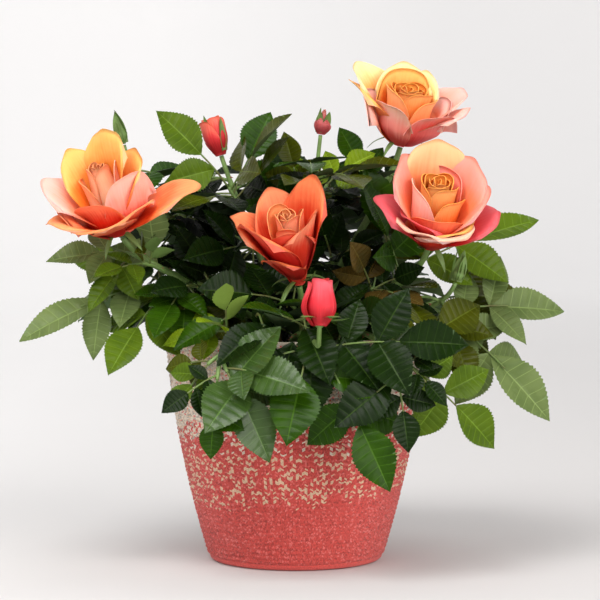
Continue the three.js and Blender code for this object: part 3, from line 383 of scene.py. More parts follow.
def bend(cane):
    """The four control points of a cane."""
    foot = np.array((*cane["foot"], SOIL_TOP + SEAT_GAP), float)
    tip = np.array(cane["tip"], float)
    span = np.linalg.norm(tip - foot)
    arrive = tip - heading(cane["bearing"], cane["lift"]) * span * CANE_ARRIVE
    return foot, foot + UP * span * CANE_RISE, arrive, tip


def on_bend(bends, t):
    a, b, c, d = bends
    return a * (1 - t) ** 3 + b * 3 * t * (1 - t) ** 2 + c * 3 * t * t * (1 - t) + d * t ** 3


def bend_way(bends, t):
    a, b, c, d = bends
    return unit((b - a) * (1 - t) ** 2 + (c - b) * 2 * t * (1 - t) + (d - c) * t * t)


def cane_named(name):
    return next(i for i, cane in enumerate(CANES) if cane["name"] == name)


def cane_radius(cane, at):
    return cane["thick"] + (cane["thin"] - cane["thick"]) * at


# The growing bush: its blades and limbs so far, and the rooms of blooms and buds


def blade_width(t):
    return np.sin(np.pi * np.clip(t, 0, 1) ** 0.9)


SAMPLE_T, SAMPLE_V = (grid.ravel() for grid in np.meshgrid(
    np.arange(1, SAMPLE_ROWS + 1) / SAMPLE_ROWS, np.array((-1, -0.5, 0, 0.5, 1)), indexing="ij"))


class Blade:
    """One leaflet: where it starts, the way it points and faces, its length, and how slim it is shown."""

    slim = 1.0

    def __init__(self, base, ahead, face, size):
        self.base, self.ahead, self.size = base, ahead, size
        self.face = square_to(face, ahead)
        self.across = cross(self.face, ahead)
        self.middle = self.points(0.5, 0.0)[0]
        self.samples = self.points(SAMPLE_T, SAMPLE_V)

    def points(self, t, v, rise=0.0):
        t, v = np.atleast_1d(t), np.atleast_1d(v)
        out = v * blade_width(t) * self.size * LEAF_HALF_WIDTH
        lift = LEAF_FOLD * np.abs(out) - LEAF_CURVE * self.size * t * t + rise
        frames = np.stack((t * self.size, out, lift), axis=1)
        return self.base + frames @ np.stack((self.ahead, self.across, self.face))


class Bush:
    """What a growing leaf has to keep clear of, and the leaves and twigs grown so far."""

    def __init__(self):
        self.wire_at = np.zeros((MOST_WIRES, 3))
        self.wire_radius = np.zeros(MOST_WIRES)
        self.wire_mass = np.zeros(MOST_WIRES, int)
        self.wire_leaf = np.zeros(MOST_WIRES, int)
        self.wires = 0
        self.blade_frame = np.zeros((MOST_BLADES, 3, 3))
        self.blade_base = np.zeros((MOST_BLADES, 3))
        self.blade_middle = np.zeros((MOST_BLADES, 3))
        self.blade_size = np.zeros(MOST_BLADES)
        self.blade_samples = np.zeros((MOST_BLADES, len(SAMPLE_T), 3))
        self.blades = []
        self.rooms = []
        self.leaf_gap, self.limb_gap, self.wall_gap = MAIN_GAPS
        self.fine = False
        self.limbs = []

    def keep_limb(self, path, thick, thin, kind):
        self.limbs.append({"path": path, "thick": thick, "thin": thin, "kind": kind})

    def lay_wire(self, points, start_radius, end_radius, mass, leaf):
        """Lays the thin line of a limb as points that growing leaves keep clear of."""
        for i in range(len(points) - 1):
            steps = math.ceil(np.linalg.norm(points[i + 1] - points[i]) / WIRE_STEP)
            parts = (np.arange(steps) + 0.5) / steps
            span = slice(self.wires, self.wires + steps)
            self.wire_at[span] = points[i] + np.outer(parts, points[i + 1] - points[i])
            place = (i + parts) / (len(points) - 1)
            self.wire_radius[span] = start_radius + (end_radius - start_radius) * place
            self.wire_mass[span] = mass
            self.wire_leaf[span] = leaf
            self.wires += steps

    def keep_blade(self, blade):
        n = len(self.blades)
        self.blade_frame[n] = (blade.ahead, blade.across, blade.face)
        self.blade_base[n] = blade.base
        self.blade_middle[n] = blade.middle
        self.blade_size[n] = blade.size
        self.blade_samples[n] = blade.samples
        self.blades.append(blade)

    def in_rooms(self, points, gap):
        for centre, axis, wide, tall in self.rooms:
            offset = points - centre
            height = offset @ axis
            out = np.maximum((offset * offset).sum(1) - height * height, 0)
            if np.any((height / (tall + gap)) ** 2 + out / (wide + gap) ** 2 < 1):
                return True
        return False

    def in_pot(self, points, gap):
        height = points[:, 2]
        out = np.hypot(points[:, 0], points[:, 1])
        outer = wall_radius(np.clip(height, FOOT_HEIGHT, POT_HEIGHT))
        beside = (height <= POT_HEIGHT + gap) & (out <= outer + gap)
        inside = (out > outer - WALL_THICK - gap) | (height < SOIL_TOP + gap)
        return bool(np.any((height < gap) | (beside & inside)))

    def near_blades(self, centre, reach):
        count = len(self.blades)
        away = np.linalg.norm(self.blade_middle[:count] - centre, axis=1)
        return np.nonzero(away <= reach + self.blade_size[:count] / 2)[0]

    def in_near_blades(self, points, near, gap):
        if not len(near):
            return False
        return bool(inside_blades(
            points[None], self.blade_base[near], self.blade_frame[near], self.blade_size[near], gap).any())

    def blade_is_clear(self, blade, siblings):
        if self.in_pot(blade.samples, self.wall_gap) or self.in_rooms(blade.samples, self.limb_gap):
            return False
        at, radius = self.wire_at[:self.wires], self.wire_radius[:self.wires]
        reach = radius + self.limb_gap
        close = np.linalg.norm(at - blade.middle, axis=1) <= blade.size * 0.6 + reach
        at, reach = at[close], reach[close]
        gaps = np.linalg.norm(blade.samples[:, None] - at[None], axis=2)
        if in_blade(blade, at, reach).any() or (gaps < reach).any():
            return False
        near = self.near_blades(blade.middle, blade.size / 2 + self.leaf_gap)
        if self.in_near_blades(blade.samples, near, self.leaf_gap):
            return False
        if len(near) and in_blade(blade, self.blade_samples[near].reshape(-1, 3), self.leaf_gap).any():
            return False
        return not any(
            in_blade(one, other.samples, self.leaf_gap).any()
            for sibling in siblings for one, other in ((sibling, blade), (blade, sibling)))

    def stalk_is_clear(self, path, radius, mass, host):
        """The first part of a twig or stalk may pass close to what it grows from."""
        reach = radius + self.limb_gap
        points = np.array([point_on(path, i / LIMB_SAMPLES) for i in range(1, LIMB_SAMPLES + 1)])
        near = np.arange(1, LIMB_SAMPLES + 1) < LIMB_SAMPLES / 3
        if self.in_pot(points, radius + self.wall_gap) or self.in_rooms(points, reach):
            return False
        half = np.linalg.norm(points[-1] - points[0]) / 2 + LIMB_MARGIN
        centre = (points[0] + points[-1]) / 2
        if self.in_near_blades(points, self.near_blades(centre, half + SEARCH_MARGIN), reach):
            return False
        apart = np.linalg.norm(self.wire_at[:self.wires] - centre, axis=1)
        close = np.nonzero(apart < half + SEARCH_MARGIN)[0]
        away = np.linalg.norm(points[:, None] - self.wire_at[close][None], axis=2)
        touch = away < self.wire_radius[close] + reach
        of_host = self.wire_mass[close] == host
        of_mass = self.wire_mass[close] == mass
        own = np.where(
            of_host[None], near[:, None],
            of_mass[None] & (near[:, None] | (self.wire_leaf[close] == NO_LEAF)[None]))
        return not np.any(touch & ~own)


def in_frames(offset, sizes, gap):
    """Whether offsets from leaflets' bases lie in their blades, within a gap of their faces."""
    t = offset[..., 0] / sizes
    out = np.abs(offset[..., 1])
    height = offset[..., 2] + LEAF_CURVE * sizes * t * t - LEAF_FOLD * out
    wide = blade_width(t) * sizes * LEAF_HALF_WIDTH + BLADE_MARGIN
    return (t >= -0.02) & (t <= 1 + 1 / sizes) & (out <= wide) & (np.abs(height) < gap)


def in_blade(blade, points, gap):
    frame_axes = np.stack((blade.ahead, blade.across, blade.face))
    return in_frames((points - blade.base) @ frame_axes.T, blade.size, gap)


def inside_blades(points, bases, frames, sizes, gap):
    offset = np.einsum("bpk,bak->bpa", points - bases[:, None], frames)
    return in_frames(offset, sizes[:, None], gap)


# Leaves


def stalk_path(base, ahead, size, pairs):
    kind = STALKS[pairs]
    points = [base]
    for i in range(1, len(kind["nodes"])):
        way = unit(ahead - UP * STALK_DROOP * kind["nodes"][i])
        step = (kind["nodes"][i] - kind["nodes"][i - 1]) * kind["length"] * size
        points.append(points[-1] + way * step)
    return points


def grow_blade(bush, base, ahead, face, size, siblings):
    """A leaflet in the first way of lying that is clear."""
    across = unit(cross(face, ahead))
    for swing, pitch in LEAFLET_TRIES[:3 if bush.fine else None]:
        way = swung(swung(ahead, across, pitch), face, swing)
        blade = Blade(base, way, swung(face, across, pitch), size)
        if bush.fine and not in_reach(blade.samples):
            return None
        if bush.blade_is_clear(blade, siblings):
            return blade
    return None


def grow_slots(bush, path, look, size, leaf):
    """The end leaflet, then left and right of each pair. An empty slot is None."""
    last = len(path) - 1
    end = direction_at(path, last)
    slots = [grow_blade(bush, path[last], end, square_to(look, end), size, [])]
    grown = [blade for blade in slots if blade]
    for pair, share in enumerate(STALKS[last - 1]["shares"]):
        ahead = direction_at(path, pair + 1)
        up = square_to(look, ahead)
        for side in (1, -1):
            splay = side * (PAIR_SPLAY + SPLAY_SPREAD * jitter(leaf, 10 * pair + side + 3))
            way = swung(ahead, up, splay)
            slots.append(grow_blade(bush, path[pair + 1], way, up, size * share, grown))
            grown += [blade for blade in slots[-1:] if blade]
    return slots, grown


def best_leaf(bush, base, ahead, look, size, pairs, mass, leaf, loose):
    """The way of lying that has the most leaflets clear and turns the leaf the least."""
    best = None
    across = unit(cross(look, ahead))
    fewest = min(FEWEST_LEAFLETS, 2 * pairs)
    for swing, pitch in FINE_TRIES if bush.fine else LEAF_TRIES:
        tipped = swung(ahead, across, pitch + loose * jitter(leaf, 1))
        way = swung(tipped, look, swing + loose * jitter(leaf, 2))
        path = stalk_path(base - way * STALK_SINK, way, size, pairs)
        if not bush.stalk_is_clear(path, STALK_RADIUS, mass, NO_HOST):
            continue
        slots, grown = grow_slots(bush, path, look, size, leaf)
        if len(grown) < fewest:
            continue
        score = len(grown) + (1 if slots[0] else 0) - (abs(swing) + abs(pitch)) * TRY_COST
        if best is None or score > best["score"]:
            best = {"path": path, "grown": grown, "full": len(grown) == len(slots), "score": score}
        if len(grown) == len(slots) and (bush.fine or swing == pitch == 0):
            break
    return best


# Rooms of the blooms and buds, which leaves don't come before, and what a leaf may still hide of one
SHOWN_ROOMS = []
SHOWN_SHARE = 0.9
HIDING_SHARE = 0.08


def hides_flower(points):
    """Whether a good part of a leaflet comes before a bloom or bud."""
    for centre, _, wide, tall in SHOWN_ROOMS:
        aside = np.hypot(points[:, 0] - centre[0], points[:, 2] - centre[2])
        if ((aside < min(wide, tall) * SHOWN_SHARE) & (points[:, 1] < centre[1])).mean() > HIDING_SHARE:
            return True
    return False


def keep_leaf(bush, grown, mass, leaf, tone):
    for blade in grown["grown"]:
        if hides_flower(blade.samples):
            continue
        apart = (blade.middle - REACH_CENTRE) / REACH_RADII
        # A finer leaflet deep in the crown takes the near-black tone, painted shade for the crown's dark
        # heart
        blade.tone = "dusk" if bush.fine and apart @ apart < SHADED_CORE_REACH else tone
        blade.fine = bush.fine
        bush.keep_blade(blade)
    bush.lay_wire(grown["path"], STALK_RADIUS, STALK_RADIUS, mass, leaf)
    end = grown["path"][-1]
    reach = grown["path"] + [end + direction_at(grown["path"], len(grown["path"]) - 1) * 0.8]
    bush.keep_limb(reach, STALK_RADIUS * 0.72, STALK_RADIUS * 0.5, "stalk")


def leaf_tone(tone, leaf):
    return NEAR_TONES[tone][int(2 + 2 * jitter(leaf, 11)) % 4]


def twig_path(start, aim, reach, sag=TWIG_SAG):
    points = [start]
    for i in range(1, TWIG_STEPS + 1):
        way = unit(aim - UP * (sag * i / TWIG_STEPS))
        points.append(points[-1] + way * (reach / TWIG_STEPS))
    return points


def aimed_twig(row, at):
    """The twig is aimed and measured so that the end leaflet's tip comes to the named place."""
    cane = CANES[cane_named(row["cane"] + "_cane")]
    curve = bend(cane)
    root = on_bend(curve, at)
    target = np.array(row["tip"], float)
    look = heading(row["look"], row["tilt"])
    share = 1 + STALKS[row["pairs"]]["length"]
    size = row["size"]
    reach = np.linalg.norm(target - root) - size * share
    aim = unit(target - root)
    for _ in range(AIM_ROUNDS):
        if reach < TWIG_SHORTEST:
            size += (reach - TWIG_SHORTEST) / share
        reach = max(reach, TWIG_SHORTEST)
        lean = abs(aim @ bend_way(curve, at))
        clear = (cane_radius(cane, at) + SEAT_GAP + TWIG_RADIUS * lean) / math.sqrt(1 - lean * lean)
        path = twig_path(root + aim * clear, aim, reach)
        way = direction_at(path, TWIG_STEPS)
        stalk = stalk_path(path[-1] - way * STALK_SINK, way, size, row["pairs"])
        end = direction_at(stalk, len(stalk) - 1)
        blade = Blade(stalk[-1], end, look, size)
        miss = target - blade.points(1.0, 0.0)[0]
        reach += miss @ aim
        aim = unit(aim + miss / np.linalg.norm(target - root))
    return root, path, size


def start_mass(bush, row, mass):
    """A mass starts with the twig and end leaf that come out best of the places tried along the cane."""
    look = heading(row["look"], row["tilt"])
    host = -1 - cane_named(row["cane"] + "_cane")
    best = None
    for shift in TWIG_SHIFTS:
        root, path, size = aimed_twig(row, row["at"] + shift)
        if not bush.stalk_is_clear(path, TWIG_RADIUS, mass, host):
            continue
        laid = bush.wires
        bush.lay_wire(path, TWIG_RADIUS, TWIG_RADIUS * TWIG_TAPER, mass, NO_LEAF)
        way = direction_at(path, TWIG_STEPS)
        leaf = best_leaf(bush, path[-1], way, look, size, row["pairs"], mass, 10 * mass, 0)
        bush.wires = laid
        score = (leaf["score"] if leaf else -1) - abs(shift) * SHIFT_COST
        if best is None or score > best["score"]:
            best = {"root": root, "path": path, "size": size, "leaf": leaf, "score": score}
        if leaf and leaf["full"]:
            break
    bush.lay_wire(best["path"], TWIG_RADIUS, TWIG_RADIUS * TWIG_TAPER, mass, NO_LEAF)
    bush.keep_limb([best["root"], *best["path"]], TWIG_RADIUS, TWIG_RADIUS * TWIG_TAPER, "twig")
    if best["leaf"]:
        keep_leaf(bush, best["leaf"], mass, 10 * mass, row["tone"])
    return {"row": row, "mass": mass, "look": look, **best}


def side_leaf(bush, grown, k, leaves):
    """Side leaves stand by turns on the two sides of the twig."""
    mass, path, row = grown["mass"], grown["path"], grown["row"]
    leaf = 10 * mass + k
    place = 1 - k / leaves
    way = direction_at(path, int(place * TWIG_STEPS))
    splay = (1 if (k + mass) % 2 == 0 else -1) * (SIDE_SPLAY + SIDE_SPREAD * jitter(leaf, 5))
    tipped = unit(grown["look"] + way * LOOK_SPREAD * jitter(leaf, 6))
    length = grown["size"] * (1 - SIDE_SHRINK * k) * (1 + SIZE_SPREAD * jitter(leaf, 7))
    side = swung(way, square_to(tipped, way), splay)
    best = best_leaf(bush, point_on(path, place), side, tipped, length, row["pairs"], mass, leaf, SIDE_LOOSE)
    if best:
        keep_leaf(bush, best, mass, leaf, leaf_tone(SIDE_TONES.get(row.get("name"), row["tone"]), leaf))


# Sprays that hang over the front of the rim: number, cane, fraction of the cane, tip, size of the end
# leaflet, bearing and tilt that they face, tone
FRONT_FIELDS = ("mass", "cane", "at", "tip", "size", "look", "tilt", "tone")
FRONT_SPRAYS = [dict(zip(FRONT_FIELDS, row), pairs=1) for row in (
    (55, "front_left", 0.16, (-70, -66, 122), 38, -112, 36, "fresh"),
    (59, "middle_bloom", 0.2, (-22, -86, 130), 42, -96, 40, "deep"),
    (60, "middle_bloom", 0.24, (26, -86, 130), 42, -84, 40, "deep"),
)]

# Single leaves over the rim: cane, fraction of the cane, middle of the blade, its length, the way that it
# points, the way that it faces, tone
RIM_FIELDS = ("cane", "at", "middle", "size", "way", "look", "tone")
RIM_LEAVES = [dict(zip(RIM_FIELDS, row)) for row in (
    ("front_bud", 0.5, (12, -86, 126), 36, (-50, -52), (-84, 34), "deep"),
    ("front_bud", 0.5, (8, -84, 110), 40, (-100, -72), (-90, 16), "deep"),
    ("front_left", 0.4, (-30, -82, 132), 36, (-150, -30), (-100, 46), "deep"),
    ("front_left", 0.3, (-54, -66, 136), 32, (-165, -24), (-105, 50), "green"),
    ("front_right", 0.4, (34, -84, 122), 38, (-40, -40), (-84, 40), "deep"),
    ("front_right", 0.3, (56, -70, 132), 36, (-20, -30), (-78, 44), "blue"),
)]
RIM_SHIFTS, RIM_SHIFT = 9, 2.0
RIM_LEAF_GAP = 0.3
RIM_ARCH = 9
STALK_LAP = 1.5

# Leaflets that are enlarged: where those at the front and at the two ends of the crown are, the sizes tried
# for them, how much an end leaflet may grow and how slim it is then shown, and the gaps that they keep
FRONT_DEPTH, FRONT_TOP, FRONT_LEFT, FRONT_RIGHT = -58, 138, -42, 56
FRONT_SIZES = (40, 36, 33, 30, 27, 24)
END_REACH, END_SMALLEST = 108, 26
END_SIZES = (50, 47, 44, 41, 38, 35, 32, 29)
END_GROWTH = 12
END_SLIM = 0.76
SWELL_GAP = 0.5
POT_GAP = 0.8


def swell_leaves(bush):
    """Grows the leaflets before the rim about their middles, and those at the two ends of the crown back from
    their tips, as far as their neighbours leave room."""
    held, bush.blades = bush.blades, []
    front = [b for b in held if b.middle[1] < FRONT_DEPTH and b.middle[2] < FRONT_TOP
             and FRONT_LEFT < b.middle[0] < FRONT_RIGHT]
    ends = [b for b in held if abs(b.middle[0]) > END_REACH and b.size > END_SMALLEST]
    for blade in held:
        if blade not in front and blade not in ends:
            bush.keep_blade(blade)
    for blade in sorted(ends + front, key=lambda b: -b.size):
        at_end = blade in ends
        for size in (*(END_SIZES if at_end else FRONT_SIZES), blade.size):
            if not 0 <= size - blade.size <= (END_GROWTH if at_end else size):
                continue
            back = blade.ahead * (blade.size - size) / 2 if at_end else 0
            grown = Blade(blade.middle + back - blade.ahead * size / 2, blade.ahead, blade.face, size)
            near = bush.near_blades(grown.middle, size / 2 + 1)
            if bush.in_near_blades(grown.samples, near, SWELL_GAP) or bush.in_pot(grown.samples, POT_GAP):
                continue
            if hides_flower(grown.samples):
                continue
            grown.tone, grown.fine = blade.tone, blade.fine
            grown.slim = END_SLIM if at_end else 1.0
            bush.keep_blade(grown)
            break


def hang_sprays(bush):
    """The sprays over the front of the rim, each with its twig, end leaf and a side leaf."""
    for row in FRONT_SPRAYS:
        side_leaf(bush, start_mass(bush, row, row["mass"]), 1, 2)


def hang_leaves(bush):
    """Single leaves over the rim, each on a stalk from its cane and as near the pot as there is room."""
    for row in RIM_LEAVES:
        ahead, face, size = heading(*row["way"]), heading(*row["look"]), row["size"]
        for step in range(RIM_SHIFTS):
            middle = np.array(row["middle"], float) - np.array((0, RIM_SHIFT * step, 0))
            blade = Blade(middle - ahead * size / 2, ahead, face, size)
            near = bush.near_blades(blade.middle, size / 2 + 1)
            if bush.in_near_blades(blade.samples, near, RIM_LEAF_GAP) or bush.in_pot(blade.samples, POT_GAP):
                continue
            blade.tone, blade.fine = row["tone"], False
            bush.keep_blade(blade)
            root = on_bend(bend(CANES[cane_named(row["cane"] + "_cane")]), row["at"])
            base = middle - ahead * (size / 2 - STALK_LAP)
            over = (root + base) / 2 + UP * RIM_ARCH
            bush.keep_limb([root, over, base], STALK_RADIUS, STALK_RADIUS * 0.6, "stalk")
            break


# Finer growth: more side leaves on the twigs, then shoots from the canes
REACH_CENTRE = np.array((-14.0, 6.0, 176.0))
REACH_RADII = np.array((108.0, 116.0, 84.0))
FRONT_HANG = 90
# How far into the crown a finer leaflet's colour turns to painted shade
SHADED_CORE_REACH = 0.36
FILL_LEAVES = 4
FILL_LEAF_START = 400
FINE_LOOSE = 6
SHOOT_RADIUS = 0.9
SHOOT_SAG = 0.5
SHOOT_SPLAY = 62
SHOOT_TONES = ("deep", "green", "deep", "olive")
COLLAR_START, COLLAR_SHOOTS = 500, 54
CANE_START, CANE_SHOOTS = 100, 18


def in_reach(points):
    """Whether a finer leaflet stays in the heart of the crown, above the pot's front and off the blooms."""
    apart = (points - REACH_CENTRE) / REACH_RADII
    if ((apart * apart).sum(1) > 1).any() or (points[:, 2] < FRONT_HANG).any():
        return False
    for centre, _, wide, tall in SHOWN_ROOMS:
        aside = np.hypot(points[:, 0] - centre[0], points[:, 2] - centre[2])
        if ((aside < min(wide, tall)) & (points[:, 1] < centre[1])).any():
            return False
    return True


def leaf_look(way):
    """The way that a finer leaf faces: up, a little along its way, and towards the viewer or away."""
    return unit(UP * 0.8 + way * 0.25 - np.array((0, 0.35, 0)) * (1 if way[1] < 0.3 else -1))


def fine_leaf(bush, base, way, size, pairs, mass, leaf, loose, tone):
    """Grows a finer leaf where there is room for it, and says whether it came out."""
    best = best_leaf(bush, base, way, leaf_look(way), size, pairs, mass, leaf, loose)
    if best:
        keep_leaf(bush, best, mass, leaf, tone)
    return bool(best)


def fill_masses(bush, masses):
    """More side leaves all round the twig of each mass."""
    for k in range(1, FILL_LEAVES + 1):
        for grown in masses:
            path, mass = grown["path"], grown["mass"]
            leaf = FILL_LEAF_START + 10 * mass + k
            place = 1 - k / (FILL_LEAVES + 1)
            way = direction_at(path, int(place * TWIG_STEPS))
            look = unit(grown["look"] + way * 0.3 * jitter(leaf, 6))
            side = swung(way, square_to(look, way), SIDE_SPLAY)
            side = swung(side, way, GOLDEN_TURN * k + 60 * jitter(leaf, 3))
            size = grown["size"] * (0.9 + 0.1 * jitter(leaf, 7))
            tone = leaf_tone(grown["row"]["tone"], leaf)
            fine_leaf(bush, point_on(path, place), side, size, 1, mass, leaf, FINE_LOOSE, tone)


def grow_shoot(bush, mass, c, at, way, length, size, pairs):
    """A short twig from a cane with a leaf at its end and one on each side."""
    cane = CANES[c]
    root = on_bend(bend(cane), at)
    path = twig_path(root + way * (cane_radius(cane, at) + SHOOT_RADIUS + SEAT_GAP), way, length, SHOOT_SAG)
    if not bush.stalk_is_clear(path, SHOOT_RADIUS, mass, -1 - c):
        return
    laid = bush.wires
    bush.lay_wire(path, SHOOT_RADIUS, 0.7, mass, NO_LEAF)
    ahead = direction_at(path, TWIG_STEPS)
    tone = leaf_tone(SHOOT_TONES[mass % 4], 10 * mass)
    grown = fine_leaf(bush, path[-1], ahead, size, pairs, mass, 10 * mass, 4, tone)
    for j in (1, 2):
        leaf = 10 * mass + j
        side = swung(ahead, square_to(UP, ahead), (1 if (j + mass) % 2 else -1) * SHOOT_SPLAY)
        place = point_on(path, 1 - j / 3)
        grown |= fine_leaf(bush, place, side, size * 0.9, 1, mass, leaf, FINE_LOOSE, leaf_tone(tone, leaf))
    if grown:
        bush.keep_limb([root, *path], 1.0, 0.75, "twig")
    else:
        bush.wires = laid


def fill_collar(bush):
    """Shoots that lean out over the rim all round the pot, each from one of the three canes nearest to it."""
    feet = [math.degrees(math.atan2(cane["foot"][1], cane["foot"][0])) for cane in CANES]
    for k in range(COLLAR_SHOOTS):
        mass = COLLAR_START + k
        bearing = (GOLDEN_TURN * k + 14 * jitter(mass, 1)) % 360
        apart = [abs((bearing - foot + 180) % 360 - 180) for foot in feet]
        c = int(np.argsort(apart)[k % 3])
        at = 0.1 + 0.14 * (1 + jitter(mass, 2))
        way = heading(bearing, 14 + 16 * jitter(mass, 3))
        grow_shoot(bush, mass, c, at, way, 48 + 16 * jitter(mass, 4), 38 + 4 * jitter(mass, 5), 1 + k % 2)


def fill_canes(bush):
    """Shoots with leaves all round each cane, from its foot to below its tip."""
    for k in range(CANE_SHOOTS):
        for c in range(len(CANES)):
            mass = CANE_START + CANE_SHOOTS * c + k
            at = 0.1 + 0.8 * (k + 0.5) / CANE_SHOOTS
            way = heading(GOLDEN_TURN * k + 50 * c + 20 * jitter(mass, 1), 18 + 22 * jitter(mass, 2))
            length = 32 * (1 + 0.6 * jitter(mass, 3)) * (1 - 0.5 * at)
            size = 38 * (1 + 0.14 * jitter(mass, 4)) * (1 - 0.25 * at)
            grow_shoot(bush, mass, c, at, way, length, size, 1 + k % 2)


def flower_base(row):
    cane = CANES[cane_named(row["name"] + "_cane")]
    cane_way = heading(cane["bearing"], cane["lift"])
    axis = heading(row["bearing"], row["lift"])
    lean = math.sqrt(max(1 - (cane_way @ axis) ** 2, 0))
    base = np.array(cane["tip"], float) + cane_way * (SEAT_GAP + STEM_RADIUS * lean)
    return base, axis


GROWN = {}
BUD_ROOM = 3


def grown_bush():
    """The whole bush, grown once: the masses' twigs and leaves first, then the finer ones."""
    if GROWN:
        return GROWN["bush"]
    bush = Bush()
    for c, cane in enumerate(CANES):
        curve = bend(cane)
        path = [on_bend(curve, i / CANE_STEPS) for i in range(CANE_STEPS + 1)]
        bush.lay_wire(path, cane["thick"], cane["thin"], -1 - c, NO_LEAF)
    for row in BLOOMS:
        base, axis = flower_base(row)
        wide, tall, high = row["room"]
        bush.rooms.append((base + axis * high, axis, wide, tall))
    for row in BUDS:
        base, axis = flower_base(row)
        middle = row["neck"] + row["length"] / 2
        bush.rooms.append((base + axis * middle, axis, row["radius"] + BUD_ROOM, middle + BUD_ROOM))
    SHOWN_ROOMS.extend(bush.rooms)
    masses = [start_mass(bush, row, i) for i, row in enumerate(MASSES)]
    for k in range(1, MOST_LEAVES):
        for grown in masses:
            if k < grown["row"]["leaves"]:
                side_leaf(bush, grown, k, grown["row"]["leaves"])
    bush.leaf_gap, bush.limb_gap, bush.wall_gap = FINE_GAPS
    swell_leaves(bush)
    hang_sprays(bush)
    hang_leaves(bush)
    bush.fine = True
    fill_masses(bush, masses)
    fill_collar(bush)
    fill_canes(bush)
    GROWN["bush"] = bush
    return bush


# Meshes


def new_piece(name, points, faces, materials, places=None, marks=None, attribute=None):
    """A smooth mesh object from points in millimetres. Marks are the faces' materials, and the places of the
    points are kept under the attribute's name."""
    mesh = bpy.data.meshes.new(name)
    mesh.from_pydata(np.asarray(points) * MM, [], faces)
    for material in materials:
        mesh.materials.append(material)
    if marks is not None:
        mesh.polygons.foreach_set("material_index", np.asarray(marks, np.int32))
    if attribute is not None:
        made = mesh.attributes.new(attribute, "FLOAT_VECTOR", "POINT")
        made.data.foreach_set("vector", np.asarray(places, np.float32).ravel())
    mesh.validate()
    mesh.shade_smooth()
    piece = bpy.data.objects.new(name, mesh)
    bpy.context.scene.collection.objects.link(piece)
    return piece


class Heap:
    """Points, faces, face marks and point places that are gathered into one mesh."""

    def __init__(self):
        self.points, self.faces, self.marks, self.places = [], [], [], []
        self.count = 0

    def add(self, points, faces, marks, places=None):
        points = np.asarray(points, float)
        self.points.append(points)
        if isinstance(faces, np.ndarray):
            self.faces.extend((faces + self.count).tolist())
        else:
            self.faces.extend([i + self.count for i in face] for face in faces)
        self.marks.append(np.broadcast_to(np.asarray(marks), (len(faces),)))
        self.places.append(np.zeros((len(points), 3)) if places is None else places)
        self.count += len(points)

    def piece(self, name, materials, attribute=None):
        return new_piece(
            name, np.concatenate(self.points), self.faces, materials,
            np.concatenate(self.places), np.concatenate(self.marks), attribute)


def grid_faces(rows, columns, closed=False):
    """Quads over a grid of points, closed round its columns if asked."""
    i, k = np.meshgrid(np.arange(rows - 1), np.arange(columns if closed else columns - 1), indexing="ij")
    i, k = i.ravel(), k.ravel()
    after = (k + 1) % columns
    row, above = i * columns, (i + 1) * columns
    return np.stack((row + k, row + after, above + after, above + k), axis=1)


def around(radii, turns, heights):
    """Points at each pair of radius and turn, as a list."""
    return np.stack((
        np.outer(radii, np.cos(turns)), np.outer(radii, np.sin(turns)), heights), axis=2).reshape(-1, 3)


def even_turns(sides):
    return 2 * np.pi * np.arange(sides) / sides


def turned_points(profile, sides):
    """Points of a profile of radius and height that is turned about the upright axis."""
    outline = np.array(profile)
    return around(outline[:, 0], even_turns(sides), np.repeat(outline[:, 1:], sides, axis=1))


def tube(path, radii, sides):
    """Rings along a path, closed at both ends by a point: points, and quads with the end fans."""
    path = np.asarray(path, float)
    side = square_to(np.array((0.31, 0.87, 0.38)), direction_at(path, 0))
    turns = even_turns(sides)
    rings = []
    for i, point in enumerate(path):
        ahead = direction_at(path, i)
        side = square_to(side, ahead)
        across = cross(ahead, side)
        rings.append(point + radii[i] * (np.outer(np.cos(turns), side) + np.outer(np.sin(turns), across)))
    points = np.concatenate(rings + [path[:1], path[-1:]])
    faces = grid_faces(len(path), sides, True).tolist()
    foot, top = len(points) - 2, len(points) - 1
    last = (len(path) - 1) * sides
    for k in range(sides):
        after = (k + 1) % sides
        faces.append([after, k, foot])
        faces.append([last + k, last + after, top])
    return points, faces


def smooth_path(points, steps):
    """A path through the points, rounded, with steps between each two."""
    points = np.asarray(points, float)
    padded = np.concatenate((2 * points[:1] - points[1:2], points, 2 * points[-1:] - points[-2:-1]))
    made = []
    for i in range(1, len(padded) - 2):
        a, b, c, d = padded[i - 1:i + 3]
        for t in np.arange(steps) / steps:
            made.append(0.5 * (2 * b + (c - a) * t + (2 * a - 5 * b + 4 * c - d) * t * t
                               + (3 * b - a - 3 * c + d) * t ** 3))
    return np.array(made + [points[-1]])


# Materials


def node(tree, kind, inputs=None, **facts):
    """A shader node with its settings, its values and the links into it."""
    made = tree.nodes.new(kind)
    for name, value in facts.items():
        setattr(made, name, value)
    for socket, value in (inputs or {}).items():
        if isinstance(value, bpy.types.NodeSocket):
            tree.links.new(value, made.inputs[socket])
        else:
            made.inputs[socket].default_value = value
    return made


def effect_group(name, inputs, outputs, build):
    """A node group with named inputs and outputs, made once."""
    if name in bpy.data.node_groups:
        return bpy.data.node_groups[name]
    group = bpy.data.node_groups.new(name, "ShaderNodeTree")
    for label, kind, value in inputs:
        made = group.interface.new_socket(label, in_out="INPUT", socket_type=kind)
        made.default_value = value
    for label, kind in outputs:
        group.interface.new_socket(label, in_out="OUTPUT", socket_type=kind)
    entry = group.nodes.new("NodeGroupInput")
    leave = group.nodes.new("NodeGroupOutput")
    for label, socket in build(group, entry.outputs).items():
        group.links.new(socket, leave.inputs[label])
    return group


def rgba(colour):
    return (*colour, 1.0)


def mixed(tree, factor, a, b):
    """A colour mix. Its inputs 6 and 7 are the two colours and its output 2 is the result."""
    return node(tree, "ShaderNodeMix", {0: factor, 6: a, 7: b}, data_type="RGBA").outputs[2]


